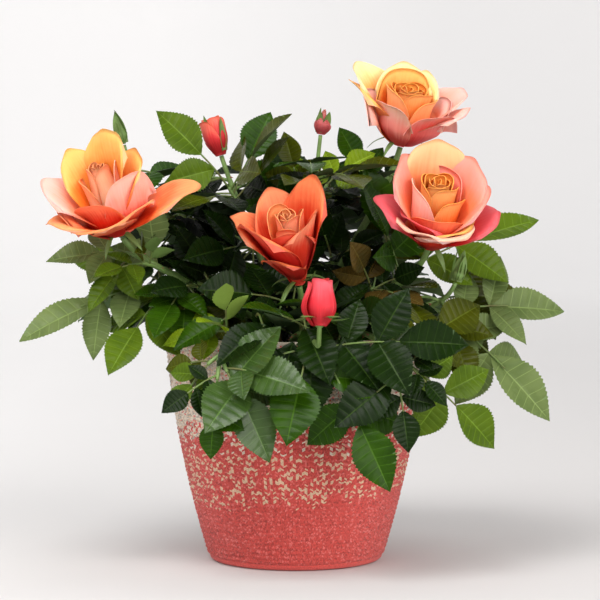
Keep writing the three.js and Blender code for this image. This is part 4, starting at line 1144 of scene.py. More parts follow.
def own_place(tree):
    return node(tree, "ShaderNodeTexCoord").outputs["Object"]


def noise(tree, place, scale, detail):
    return node(tree, "ShaderNodeTexNoise", {
        "Vector": place, "Scale": scale, "Detail": detail}).outputs["Fac"]


def maths(tree, operation, *values):
    return node(tree, "ShaderNodeMath", dict(enumerate(values)), operation=operation).outputs[0]


def mapped(tree, value, span, onto=(0.0, 1.0), **facts):
    """A value that is carried from one span onto another."""
    return node(tree, "ShaderNodeMapRange", {
        "Value": value, "From Min": span[0], "From Max": span[1], "To Min": onto[0], "To Max": onto[1],
    }, **facts).outputs[0]


COLOUR, NUMBER, VECTOR = "NodeSocketColor", "NodeSocketFloat", "NodeSocketVector"


def mottle_group():
    """Soft blotches of a second colour over the first."""
    def build(tree, given):
        patches = noise(tree, own_place(tree), given["Scale"], 4.0)
        mask = mapped(tree, patches, (0.38, 0.64), (0.0, given["Amount"]))
        return {"Color": mixed(tree, mask, given["Color"], given["Shade"]), "Mask": mask}
    return effect_group("Mottle", (
        ("Color", COLOUR, (0.5, 0.5, 0.5, 1)), ("Shade", COLOUR, (0.2, 0.2, 0.2, 1)),
        ("Scale", NUMBER, 100.0), ("Amount", NUMBER, 0.7),
    ), (("Color", COLOUR), ("Mask", NUMBER)), build)


def grain_group():
    """Fine relief."""
    def build(tree, given):
        height = noise(tree, own_place(tree), given["Scale"], 3.0)
        bump = node(tree, "ShaderNodeBump", {
            "Height": height, "Strength": given["Strength"], "Distance": given["Depth"]})
        return {"Normal": bump.outputs["Normal"]}
    return effect_group("Grain", (
        ("Scale", NUMBER, 900.0), ("Strength", NUMBER, 0.4), ("Depth", NUMBER, 0.0004),
    ), (("Normal", VECTOR),), build)


def blush_group():
    """A petal's colour from root to rim, with fine lines along it. Its dark root is partly painted shade."""
    def build(tree, given):
        place = node(tree, "ShaderNodeAttribute", attribute_name="petal_place", attribute_type="GEOMETRY")
        parts = node(tree, "ShaderNodeSeparateXYZ", {"Vector": place.outputs["Vector"]})
        stretch = node(tree, "ShaderNodeVectorMath", {
            0: place.outputs["Vector"], 1: (1.2, 26.0, 9.0)}, operation="MULTIPLY").outputs[0]
        lines = noise(tree, stretch, 1.0, 3.0)
        patches = noise(tree, own_place(tree), 90.0, 2.0)
        wander = maths(tree, "ADD", lines, patches)
        shift = maths(tree, "MULTIPLY_ADD", wander, 0.35, -0.35)
        along = maths(tree, "ADD", parts.outputs["X"], shift)
        low = mapped(tree, along, (0.12, 0.55), interpolation_type="SMOOTHSTEP")
        high = mapped(tree, along, (0.5, 0.98), interpolation_type="SMOOTHSTEP")
        first = mixed(tree, low, given["Root"], given["Middle"])
        return {"Color": mixed(tree, high, first, given["Rim"]), "Lines": lines}
    return effect_group("Petal blush", (
        ("Root", COLOUR, (0.9, 0.3, 0.1, 1)), ("Middle", COLOUR, (0.9, 0.4, 0.2, 1)),
        ("Rim", COLOUR, (0.9, 0.5, 0.3, 1)),
    ), (("Color", COLOUR), ("Lines", NUMBER)), build)


def grouped(tree, group, values):
    made = tree.nodes.new("ShaderNodeGroup")
    made.node_tree = group
    for label, value in values.items():
        made.inputs[label].default_value = value
    return made.outputs


def new_finish(name, **shader):
    """A material with its Principled shader, whose plain values are set on its own sockets."""
    material = bpy.data.materials.new(name)
    material.use_nodes = True
    surface = material.node_tree.nodes["Principled BSDF"]
    for socket, value in shader.items():
        surface.inputs[socket.replace("_", " ")].default_value = value
    return material, material.node_tree, surface


def mottled_finish(name, colour, shade, scale, amount, rough, grain, **shader):
    """A blotchy surface with fine relief. Rough is the roughness where it is plain and where it is shaded,
    and grain is the relief's scale, strength and depth."""
    material, tree, surface = new_finish(name, **shader)
    tint = grouped(tree, mottle_group(), {
        "Color": rgba(colour), "Shade": rgba(shade), "Scale": scale, "Amount": amount})
    relief = grouped(tree, grain_group(), {"Scale": grain[0], "Strength": grain[1], "Depth": grain[2]})
    gloss = mapped(tree, tint["Mask"], (0.0, amount), rough)
    tree.links.new(tint["Color"], surface.inputs["Base Color"])
    tree.links.new(gloss, surface.inputs["Roughness"])
    tree.links.new(relief["Normal"], surface.inputs["Normal"])
    material.diffuse_color = rgba(colour)
    return material


def petal_finish(name, root, middle, rim, glow):
    """A satin petal whose colour runs from root to rim, with light that spreads inside it."""
    material, tree, surface = new_finish(
        name, Roughness=0.55, Specular_IOR_Level=0.3, Subsurface_Weight=glow, Subsurface_Scale=0.004,
        Subsurface_Radius=(1.0, 0.45, 0.25))
    tint = grouped(tree, blush_group(), {"Root": rgba(root), "Middle": rgba(middle), "Rim": rgba(rim)})
    bump = node(tree, "ShaderNodeBump", {"Height": tint["Lines"], "Strength": 0.35, "Distance": 0.0004})
    tree.links.new(tint["Color"], surface.inputs["Base Color"])
    tree.links.new(bump.outputs["Normal"], surface.inputs["Normal"])
    material.diffuse_color = rgba(middle)
    return material


def kept_finish(make, name, *facts):
    """The finish of that name, made the first time that it is asked for."""
    return bpy.data.materials.get(name) or make(name, *facts)


def tinted(colour, share, lift=0.0):
    """A colour that is scaled and then lightened evenly."""
    return tuple(c * share + lift for c in colour)


# Settings


def measure(name, description, default):
    return bpy.props.FloatProperty(name=name, description=description, default=default, unit="LENGTH")


def tint_of(name, description, default):
    return bpy.props.FloatVectorProperty(
        name=name, description=description, default=default, subtype="COLOR", size=3)


class RosePotSettings(bpy.types.PropertyGroup):
    """Sizes and colours of the woven pot."""

    rows: bpy.props.IntProperty(name="Rows", description="Rows of stitches up the wall", default=46, min=8)
    stitches: bpy.props.IntProperty(
        name="Stitches", description="Stitches round each row", default=120, min=12)
    relief: measure("Relief", "How far a stitch stands out", 0.0011)
    coral: tint_of("Coral", "Dyed fibre", (0.74, 0.100, 0.084))
    cream: tint_of("Cream", "Light flecks", (0.86, 0.60, 0.41))
    tan: tint_of("Tan", "Natural fibre at the top", (0.92, 0.79, 0.66))


class RoseLeafSettings(bpy.types.PropertyGroup):
    """Form and finish of the leaves."""

    quilting: measure("Quilting", "How far the blade swells between its veins", 0.0004)
    thickness: measure("Thickness", "Blade thickness at the midrib", 0.0006)
    gloss: bpy.props.FloatProperty(name="Roughness", description="Roughness of the upper face", default=0.21)


class RoseBloomSettings(bpy.types.PropertyGroup):
    """Form and finish of petals and buds."""

    thickness: measure("Thickness", "Petal thickness", 0.0006)
    ruffle: measure("Ruffle", "How far the rims wave", 0.0012)
    glow: bpy.props.FloatProperty(name="Glow", description="Light that spreads inside a petal", default=0.25)


class RoseStageSettings(bpy.types.PropertyGroup):
    """Floor, lights and camera."""

    distance: measure("Camera distance", "From the pot's centre", 1.6)
    height: measure("Camera height", "Above the floor", 0.26)
    # The backdrop's light is painted: it is the floor's own glow, stronger on the left
    backdrop: bpy.props.FloatProperty(
        name="Backdrop", description="Light that the backdrop gives off", default=0.4)
    floor: tint_of("Floor", "Floor and backdrop", (0.58, 0.568, 0.568))


# Pot


STITCH_COLUMNS, STITCH_LINES = 2, 3
STITCH_SLANT = 0.34
YARN_WOBBLE = 0.25
BAND_LOW, BAND_TOP = 37, 84
MIXED_FROM = 64
UNDER_RINGS = 22
POT_SIDES = 160
CORAL, DARK_CORAL, CREAM, NATURAL, DARK_NATURAL, LIGHT_CORAL = range(6)


def pot_wall(settings):
    """The outer wall as slanting lobes of yarn in rows: its points, faces and marks."""
    columns = settings.stitches * 2 * STITCH_COLUMNS
    lines = settings.rows * STITCH_LINES + 1
    relief = settings.relief / MM
    height = (SHOULDER - FOOT_HEIGHT) / settings.rows
    i, k = np.meshgrid(np.arange(lines), np.arange(columns), indexing="ij")
    half = (k % STITCH_COLUMNS) / STITCH_COLUMNS
    side = (k // STITCH_COLUMNS) % 2
    slope = np.where(side == 0, half, 1 - half) - 0.5
    fade = np.clip(np.minimum(i, lines - 1 - i) / STITCH_LINES, 0, 1)
    z = FOOT_HEIGHT + i * height / STITCH_LINES + slope * height * STITCH_SLANT * fade
    up = (i % STITCH_LINES) / STITCH_LINES
    swell = (np.sin(np.pi * up) ** 0.6) * (np.sin(np.pi * half) ** 0.5)
    random = np.random.default_rng(5)
    wobble = random.uniform(-YARN_WOBBLE, YARN_WOBBLE, i.shape)
    radius = wall_radius(np.clip(z, FOOT_HEIGHT, POT_HEIGHT)) - relief * 0.6 + relief * swell + wobble * fade
    turn = 2 * np.pi * k / columns
    points = np.stack((radius * np.cos(turn), radius * np.sin(turn), z), axis=2).reshape(-1, 3)
    faces = grid_faces(lines, columns, True)
    line, column = np.divmod(np.arange(len(faces)), columns)
    row, sub = np.divmod(line, STITCH_LINES)
    stitch = column // STITCH_COLUMNS
    chance = random.uniform(size=(4, settings.rows, columns // STITCH_COLUMNS))[:, row, stitch]
    # The flecked band has an uneven edge above and below, and stands higher on the right.
    level = FOOT_HEIGHT + row * height
    lean = np.cos(2 * np.pi * column / columns)
    top = BAND_TOP + 10 * lean + 12 * (chance[1] - 0.5)
    low = BAND_LOW + 5 * lean + 5 * (chance[3] - 0.5)
    share = 0.46 - 0.08 * np.clip((level - low) / (top - low), 0, 1)
    speck = random.uniform(size=len(faces))
    dyed = np.select((speck < 0.16, speck > 0.84), (DARK_CORAL, LIGHT_CORAL), CORAL)
    natural = np.select(
        (speck < 0.22, speck > 0.82, speck > 0.76), (DARK_NATURAL, CREAM, LIGHT_CORAL), NATURAL)
    # A fleck fills a part of its stitch, one or two lines high.
    first = (chance[1] > 0.5).astype(int)
    last = first + (chance[3] > 0.45)
    flecked = (level > low) & (chance[0] < share) & (sub >= first) & (sub <= last)
    fleck = np.where((level > MIXED_FROM) & (chance[2] < 0.5), NATURAL, CREAM)
    return points, faces, np.select((level > top, flecked), (natural, fleck), dyed)


def pot_lining():
    """Two profiles: the rounded rim with the inside down to the soil, and the underside with its rings."""
    outer = wall_radius(SHOULDER)
    profile = [(outer - 0.6, SHOULDER)]
    for turn in np.linspace(0, math.pi, 9)[1:]:
        profile.append((outer - 1.9 + 1.7 * math.cos(turn), SHOULDER + 1.9 * math.sin(turn)))
    for height in (126, 121, 116, 111.5, SOIL_TOP - 4):
        profile.append((wall_radius(height) - WALL_THICK, height))
    under = [(FOOT_RADIUS - 0.5, FOOT_HEIGHT), (FOOT_RADIUS - 1.0, 1.6), (FOOT_RADIUS - 2.4, 0.5)]
    for k in range(UNDER_RINGS):
        under.append((FLAT_RADIUS * (1 - k / UNDER_RINGS), 0.0 if k % 2 == 0 else 0.8))
    under.append((0.01, 0.4))
    return profile, under


def yarn_finish(name, colour, shade):
    return mottled_finish(
        name, colour, shade, 1300.0, 0.85, (0.82, 0.95), (1500.0, 1.0, 0.0007), Specular_IOR_Level=0.25,
        Sheen_Weight=0.15)


class ROSE_OT_pot(bpy.types.Operator):
    """Weave the basket pot from slanting lobes of coral, cream and natural yarn"""

    bl_idname = "rose.pot"
    bl_label = "Woven Pot"

    def execute(self, context):
        settings = context.scene.rose_pot
        coral, cream, tan = settings.coral, settings.cream, settings.tan
        finishes = [
            yarn_finish("Coral yarn", coral, tinted(coral, 0.72)),
            yarn_finish("Dark coral yarn", tinted(coral, 0.74), tinted(coral, 0.52)),
            yarn_finish("Cream yarn", cream, tinted(cream, 0.7)),
            yarn_finish("Natural yarn", tan, tinted(tan, 0.72)),
            yarn_finish("Dark natural yarn", tinted(tan, 0.66), tinted(tan, 0.4)),
            yarn_finish("Light coral yarn", tinted(coral, 0.9, 0.13), coral),
        ]
        heap = Heap()
        heap.add(*pot_wall(settings))
        rim, under = pot_lining()
        heap.add(turned_points(rim, POT_SIDES), grid_faces(len(rim), POT_SIDES, True), NATURAL)
        heap.add(turned_points(under, POT_SIDES), grid_faces(len(under), POT_SIDES, True)[:, ::-1], CORAL)
        pot = heap.piece("woven_pot", finishes)
        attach(pot, "root")
        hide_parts("basket_pot")
        return {"FINISHED"}


SOIL_RINGS, SOIL_SIDES = 34, 120
CRUMBS = 1500
CRUMB_CORNERS = np.array(((1, 0, 0), (-1, 0, 0), (0, 1, 0), (0, -1, 0), (0, 0, 1), (0, 0, -1)), float)
CRUMB_FACES = np.array((
    (0, 2, 4), (2, 1, 4), (1, 3, 4), (3, 0, 4), (2, 0, 5), (1, 2, 5), (3, 1, 5), (0, 3, 5)))


class ROSE_OT_soil(bpy.types.Operator):
    """Fill the pot with crumbly dark soil"""

    bl_idname = "rose.soil"
    bl_label = "Soil"

    def execute(self, context):
        dark = mottled_finish(
            "Potting soil", (0.052, 0.032, 0.020), (0.016, 0.010, 0.007), 260.0, 0.9, (0.85, 1.0),
            (1500.0, 0.8, 0.0008), Specular_IOR_Level=0.2)
        random = np.random.default_rng(11)
        heap = Heap()
        outer = wall_radius(SOIL_TOP) - WALL_THICK - 1.2
        radius = outer * (1 - np.arange(SOIL_RINGS) / (SOIL_RINGS - 1))
        radius[-1] = 0.01
        heights = SOIL_TOP - 0.8 + random.uniform(-0.8, 0.6, (SOIL_RINGS, SOIL_SIDES))
        heights[0] = SOIL_TOP - 1.2
        heights[-1] = SOIL_TOP - 0.5
        heap.add(around(radius, even_turns(SOIL_SIDES), heights), grid_faces(SOIL_RINGS, SOIL_SIDES, True), 0)
        wall = [(wall_radius(height) - WALL_THICK - 1.5, height) for height in (8, 60)]
        wall.append((outer, SOIL_TOP - 1.2))
        heap.add(turned_points(wall, SOIL_SIDES), grid_faces(len(wall), SOIL_SIDES, True), 0)
        for _ in range(CRUMBS):
            away = (outer - 2) * math.sqrt(random.uniform())
            turn = random.uniform(0, 2 * math.pi)
            size = random.uniform(0.5, 1.7)
            middle = np.array((away * math.cos(turn), away * math.sin(turn), SOIL_TOP - 0.4))
            heap.add(middle + CRUMB_CORNERS * size * random.uniform(0.6, 1.1, (6, 1)), CRUMB_FACES, 0)
        soil = heap.piece("soil_crumbs", [dark])
        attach(soil, "root")
        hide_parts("soil")
        return {"FINISHED"}


# Canes, twigs and stalks


STEM_GRAIN = (1400.0, 0.5, 0.0003)
# Each stem finish: name, colour, shade, how fine its patches are and how strong, and its roughness.
STEM_FINISHES = (
    ("Green stem", (0.16, 0.27, 0.065), (0.10, 0.16, 0.04), 160.0, 0.7, (0.42, 0.6)),
    ("Old stem", (0.20, 0.15, 0.06), (0.10, 0.07, 0.035), 200.0, 0.8, (0.6, 0.8)),
    ("Thorn", (0.30, 0.10, 0.05), (0.18, 0.06, 0.03), 300.0, 0.6, (0.4, 0.5)),
    ("Leaf stalk", (0.12, 0.20, 0.042), (0.13, 0.10, 0.034), 120.0, 0.7, (0.45, 0.6)),
)
GREEN_STEM, OLD_STEM, THORN, LEAF_STALK = range(4)
CANE_RINGS, CANE_SIDES = 56, 16
BARK_RELIEF, BARK_RINGS = 0.09, 12
LEAF_NODES, NODE_SWELL, NODE_LENGTH = 5, 0.16, 0.014
THORNS, THORN_LENGTH = 9, 1.7


def stem_finishes():
    return [kept_finish(mottled_finish, *row, STEM_GRAIN) for row in STEM_FINISHES]


def bark_ridges(points, path, seed):
    """Raises lengthwise ridges on a cane, which are highest in the old bark at its foot."""
    ring, side = np.divmod(np.arange(CANE_RINGS * CANE_SIDES), CANE_SIDES)
    uneven = 0.7 + 0.3 * np.sin(0.9 * ring + 2.1 * side + seed)
    height = BARK_RELIEF * (1 - 0.7 * ring / CANE_RINGS) * uneven
    out = points[:len(ring)] - path[ring]
    ridge = np.where(side % 2 == 0, height, -height) / np.linalg.norm(out, axis=1)
    points[:len(ring)] += out * ridge[:, None]


def cane_piece(heap, cane, seed):
    """One cane with swollen leaf nodes, ridged bark and a few thorns."""
    curve = bend(cane)
    places = np.linspace(0, 1, CANE_RINGS)
    path = np.array([on_bend(curve, t) for t in places])
    radii = cane_radius(cane, places)
    for k in range(LEAF_NODES):
        radii = radii * (1 + NODE_SWELL * np.exp(-(((places - 0.14 - 0.18 * k) / NODE_LENGTH) ** 2)))
    points, faces = tube(path, radii, CANE_SIDES)
    bark_ridges(points, path, seed)
    heap.add(points, faces, [
        OLD_STEM if face[0] // CANE_SIDES < BARK_RINGS else GREEN_STEM for face in faces])
    for k in range(THORNS):
        at = 0.12 + 0.8 * (k + 0.5 + 0.3 * jitter(seed, k)) / THORNS
        base, way = on_bend(curve, at), bend_way(curve, at)
        out = swung(square_to(RIGHT, way), way, GOLDEN_TURN * k + 90 * jitter(seed, k + 20))
        radius = cane_radius(cane, at)
        root, tip = base + out * radius * 0.8, base + out * (radius + THORN_LENGTH) - way * 0.9
        thorn, sides = tube([root, (root + tip) / 2 + way * 0.2, tip], (0.75, 0.4, 0.05), 5)
        heap.add(thorn, sides, THORN)


class ROSE_OT_canes(bpy.types.Operator):
    """Build the canes with their leaf nodes and thorns"""

    bl_idname = "rose.canes"
    bl_label = "Canes"

    def execute(self, context):
        for seed, cane in enumerate(CANES):
            heap = Heap()
            cane_piece(heap, cane, seed)
            piece = heap.piece(cane["name"] + "_stem", stem_finishes())
            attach(piece, "root")
            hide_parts(cane["name"])
        return {"FINISHED"}


class ROSE_OT_twigs(bpy.types.Operator):
    """Build every twig and leaf stalk of the grown bush"""

    bl_idname = "rose.twigs"
    bl_label = "Twigs and Stalks"

    def execute(self, context):
        heap = Heap()
        for limb in grown_bush().limbs:
            path = smooth_path(limb["path"], 3)
            radii = np.linspace(limb["thick"], limb["thin"], len(path))
            sides, mark = (6, GREEN_STEM) if limb["kind"] == "twig" else (5, LEAF_STALK)
            heap.add(*tube(path, radii, sides), mark)
        piece = heap.piece("twigs_and_stalks", stem_finishes())
        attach(piece, "root")
        return {"FINISHED"}


# Leaflets


SHOWN_WIDTH = 1.1
TOP_FACE, MIDRIB, UNDERSIDE, SIDE_VEIN = range(4)


class LeafPattern:
    """The grid of one leaflet: rows that follow its side veins, teeth on its rim, and faces over it."""

    def __init__(self, veins, row_parts, columns):
        rows = [0.0]
        for k in range(veins):
            rows += [(k + part) / veins * 0.94 + 0.03 for part in row_parts]
        rows.append(1.0)
        parts = np.array([0.0] + list(row_parts) * veins + [0.0])
        on_vein = parts == 0
        on_vein[0] = False
        self.rows, columns = np.array(rows), np.array(columns)
        self.s, v = np.meshgrid(self.rows, columns, indexing="ij")
        self.t = self.s + 0.5 * np.abs(v) * self.s * (1 - self.s) * 0.6
        self.swell = np.sin(np.pi * parts)[:, None] * (1 - np.abs(v) ** 6) * np.clip(np.abs(v) * 5, 0, 1)
        rim = np.abs(v) == 1
        teeth = np.tile((0.955, 1.045), len(rows))[:len(rows)]
        self.v = v.copy()
        self.v[rim] *= np.repeat(teeth, rim[0].sum())
        self.v[0], self.v[-1] = v[0], v[-1]
        wide = len(columns)
        upper = grid_faces(len(rows), wide)[:, ::-1]
        row, line = np.divmod(np.arange(len(upper)), wide - 1)
        centre = np.abs((columns[line] + columns[line + 1]) / 2) < 0.02
        upper_marks = np.where(centre, MIDRIB, np.where(on_vein[row], SIDE_VEIN, TOP_FACE))
        # The underside shares the rim and has one line of its own below the midrib.
        left = np.arange(len(rows)) * wide
        right = left + wide - 1
        middle = len(rows) * wide + np.arange(len(rows))
        under = [np.stack((one[:-1], other[:-1], other[1:], one[1:]), axis=1)
                 for one, other in ((left, middle), (middle, right))]
        self.faces = np.concatenate([upper] + under)
        self.marks = np.concatenate((upper_marks, np.full(2 * (len(rows) - 1), UNDERSIDE)))

    def points(self, blade, quilting, thickness, seed):
        t, v = self.t.ravel(), self.v.ravel()
        fold = 1.7 + 0.9 * jitter(seed, 1)
        wave = 0.035 * blade.size * np.sin(6 * self.s.ravel() + 3 * jitter(seed, 2)) * v * np.abs(v)
        out = np.abs(v) * blade_width(t) * blade.size * LEAF_HALF_WIDTH
        rise = self.swell.ravel() * quilting + wave * 0.5 + out * LEAF_FOLD * (fold - 1)
        slim = blade.slim * (0.93 + 0.09 * jitter(seed, 4))
        upper = blade.points(t, v * SHOWN_WIDTH * slim, rise)
        depth = -thickness * np.sin(np.pi * self.rows) ** 0.3
        below = blade.points(self.rows, np.zeros(len(self.rows)), depth)
        return np.concatenate((upper, below))


FULL_LEAF = LeafPattern(
    8, (0, 0.08, 0.31, 0.54, 0.77), (-1, -0.72, -0.42, -0.18, -0.035, 0.035, 0.18, 0.42, 0.72, 1))
FINE_LEAF = LeafPattern(7, (0, 0.12, 0.56), (-1, -0.5, -0.04, 0.04, 0.5, 1))


# How strongly a blade mirrors the light. The bluish blades shine.
LEAF_SHEEN, SHINING_SHEEN, UNDER_SHEEN = 0.085, 0.28, 0.3
LEAF_GRAIN = (1100.0, 0.35, 0.0003)
VEIN_LIFT, UNDER_LIFT = (0.018, 0.030, 0.006), (0.05, 0.085, 0.035)


def leaf_finishes(gloss):
    """For each tone: blade, midrib, underside and side veins."""
    made = []
    for tone, (colour, shade) in LEAF_TONES.items():
        sheen = SHINING_SHEEN if tone == "blue" else LEAF_SHEEN
        vein = tuple(c * 1.4 + d for c, d in zip(colour, VEIN_LIFT))
        # Side veins a little lighter: partly their own colour and partly painted sheen along the veins
        side = tuple(c * 1.15 + 0.3 * (v - c) for c, v in zip(colour, vein))
        under = tuple(c * 0.7 + d for c, d in zip(colour, UNDER_LIFT))
        vein_facts = (120.0, 0.5, (gloss + 0.05, gloss + 0.15))
        for name, specular, *facts in (
                ("Leaf", sheen, colour, shade, 75.0, 0.75, (gloss, gloss + 0.12)),
                ("Leaf midrib", sheen, vein, colour, *vein_facts),
                ("Leaf underside", UNDER_SHEEN, under, tinted(under, 0.8), 90.0, 0.6, (0.6, 0.72)),
                ("Leaf side vein", sheen, side, colour, *vein_facts)):
            made.append(mottled_finish(f"{name} {tone}", *facts, LEAF_GRAIN, Specular_IOR_Level=specular))
    return made


BACK_FROM, SIDES_FROM = 22, 48


def quarter_of(blade):
    """The part of the crown that a leaflet is joined into."""
    x, y, _ = blade.middle
    if y > BACK_FROM:
        return "back_left" if x < 0 else "back_right"
    if x < -SIDES_FROM:
        return "left"
    if x > SIDES_FROM:
        return "right"
    return "front"


def crisp_rims(mesh):
    """Keeps the shading of a leaflet's upper face apart from that of its underside along the rim."""
    edges = np.empty(len(mesh.loops), np.int32)
    mesh.loops.foreach_get("edge_index", edges)
    marks = np.empty(len(mesh.polygons), np.int32)
    mesh.polygons.foreach_get("material_index", marks)
    under = np.repeat(marks % 4 == UNDERSIDE, 4)
    below, above = (np.bincount(edges[part], minlength=len(mesh.edges)) > 0 for part in (under, ~under))
    mesh.attributes.new("sharp_edge", "BOOLEAN", "EDGE").data.foreach_set("value", below & above)


QUARTER_MASSES = {
    "left": (
        "far_left", "left_upper", "left_under", "left_front", "left_inner", "left_dark", "top_left",
        "left_rim", "front_left_upper"),
    "right": (
        "right_upper", "right_back", "far_right", "right_low", "right_front_low", "front_right", "right_rim"),
    "front": (
        "top_middle", "top_right", "bright", "dark_middle", "front_middle", "front_low", "front_left_low",
        "front_left", "middle_left", "middle_right", "bronze"),
    "back_left": ("back_left_low", "back_left_high", "back_left", "back_low"),
    "back_right": ("back_middle", "back_high", "back_right_low", "back_right_high"),
}


class ROSE_OT_leaves(bpy.types.Operator):
    """Build every leaflet of the grown bush, joined by the side of the crown that it is on"""

    bl_idname = "rose.leaves"
    bl_label = "Leaves"

    def execute(self, context):
        settings = context.scene.rose_leaf
        finishes = leaf_finishes(settings.gloss)
        heaps = {name: Heap() for name in QUARTER_MASSES}
        for seed, blade in enumerate(grown_bush().blades):
            pattern = FINE_LEAF if blade.fine else FULL_LEAF
            points = pattern.points(blade, settings.quilting / MM, settings.thickness / MM, seed)
            marks = pattern.marks + 4 * TONE_ORDER.index(blade.tone)
            heaps[quarter_of(blade)].add(points, pattern.faces, marks)
        for name, heap in heaps.items():
            piece = heap.piece(name + "_leaves", finishes)
            crisp_rims(piece.data)
            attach(piece, "root")
            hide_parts(*(mass + "_foliage" for mass in QUARTER_MASSES[name]))
        return {"FINISHED"}


# Petals


def standing(base, axis):
    """The frame of a flower, with Z along its axis and X towards the viewer's right."""
    right = square_to(RIGHT, axis)
    return base, np.stack((right, cross(axis, right), axis))


def stood(points, place):
    base, axes = place
    return base + points @ axes


PETAL_LINES, PETAL_SPANS = 26, 18
WOUND_LINES, WOUND_SPANS = 16, 16
# How many petals are wound in a bloom's heart and in an open bud.
HEART_PETALS, BUD_PETALS = 11, 5
WRAP_ROUNDING = 0.03
SEPAL_LINES, SEPAL_SPANS = 13, 4
HIP_SIDES = 18


def petal_profile(length, root, middle, edge):
    """The petal's middle line: how far out and up it is, and how far it opens, at even steps."""
    out, up = PETAL_ROOT, HIP_LENGTH - 1
    made = [(out, up, rad(root))]
    for i in range(1, PETAL_LINES + 1):
        u = i / PETAL_LINES
        opening = rad(root * (1 - u) * (1 - 2 * u) + middle * 4 * u * (1 - u) + edge * u * (2 * u - 1))
        out += length / PETAL_LINES * math.sin(opening)
        up += length / PETAL_LINES * math.cos(opening)
        made.append((out, up, opening))
    return np.array(made)


def petal_width(u):
    """Half of the petal's breadth along it: a narrow claw, broad above the middle, and a round top."""
    claw = 0.14 + 0.86 * np.sin(np.pi / 2 * np.clip(u / 0.66, 0, 1)) ** 0.9
    return claw * np.sqrt(1 - 0.42 * np.clip((u - 0.66) / 0.34, 0, 1) ** 2)


def petal_grid(lines, spans):
    """Places along a petal, from 0 to 1, and across it, from -1 to 1."""
    return np.meshgrid(np.linspace(0, 1, lines + 1), np.linspace(-1, 1, spans + 1), indexing="ij")


def petal_places(u, v, seed):
    return np.stack((u, v * 0.5, np.full_like(u, seed % 17)), axis=2).reshape(-1, 3)


def petal_layers(petal, thickness, ruffle, seed):
    """Inner and outer face of a petal as grids of points, with the petal's place at each point."""
    turn, length, width, root, middle, edge, wrap = petal[:7]
    profile = petal_profile(length, root, middle, edge)
    u, v = petal_grid(PETAL_LINES, PETAL_SPANS)
    half = width / 2 * petal_width(u)
    # The rim is a broad arc with a soft middle point, and it rolls back a little.
    waves = 0.016 * np.sin(3.5 * v + 3 * jitter(seed, 1)) * u ** 6
    point = 0.035 * np.exp(-((v / 0.25) ** 2)) * u ** 10
    along = u - (0.14 * v ** 2 + 0.13 * v ** 6) * u ** 3 + waves + point
    step = np.arange(PETAL_LINES + 1) / PETAL_LINES
    line_out, line_up, opening = (np.interp(along, step, profile[:, c]) for c in range(3))
    beyond = np.maximum(along - 1, 0) * length
    ring_out = line_out + beyond * np.sin(opening)
    ring_up = line_up + beyond * np.cos(opening)
    wave = ruffle * length / 45 * u ** 3 * (
        np.sin(3.4 * v + 4 * jitter(seed, 3)) + 0.4 * np.sin(6.5 * v + 3 * jitter(seed, 4)))
    roll = length * (0.05 * np.exp((u - 1) * 9) + 0.025 * np.exp((np.abs(v) - 1) * 7) * u)
    crease = -0.5 * np.exp(-((v / 0.14) ** 2)) * np.sin(np.pi * u) * (1 - u)
    rim = np.minimum(np.minimum(u * 8, (1 - np.abs(v)) * 9 + 0.25), (1 - u) * 14 + 0.25)
    cos, sin = math.cos(rad(turn)), math.sin(rad(turn))
    layers = []
    for side in (-0.5, 0.5):
        rise = side * thickness * np.clip(rim, 0.25, 1) + wave + crease + roll
        out = ring_out + rise * np.cos(opening)
        up = ring_up - rise * np.sin(opening)
        bow = np.maximum(out / wrap, half / 1.9)
        angle = v * half / bow
        x = out - bow + bow * np.cos(angle)
        y = bow * np.sin(angle)
        layers.append(np.stack((x * cos - y * sin, x * sin + y * cos, up), axis=2).reshape(-1, 3))
    return layers, petal_places(u, v, seed)


def closed_petal(heap, layers, where, place, rows, columns, marks):
    """Joins the inner and outer face of a petal along its rim. Marks are the finishes of the two faces."""
    quads = grid_faces(rows, columns)
    count = rows * columns
    loop = np.concatenate((
        np.arange(columns), np.arange(1, rows) * columns + columns - 1,
        (rows - 1) * columns + np.arange(columns - 2, -1, -1), np.arange(rows - 2, 0, -1) * columns))
    after = np.roll(loop, -1)
    band = np.stack((after, loop, loop + count, after + count), axis=1)
    faces = np.concatenate((quads[:, ::-1], quads + count, band))
    marking = np.concatenate((
        np.full(len(quads), marks[0]), np.full(len(quads), marks[1]), np.full(len(band), marks[0])))
    heap.add(stood(np.concatenate(layers), place), faces, marking, np.concatenate((where, where)))


def add_petal(heap, petal, place, settings, seed, marks):
    layers, where = petal_layers(petal, settings.thickness / MM, settings.ruffle / MM, seed)
    closed_petal(heap, layers, where, place, PETAL_LINES + 1, PETAL_SPANS + 1, marks)


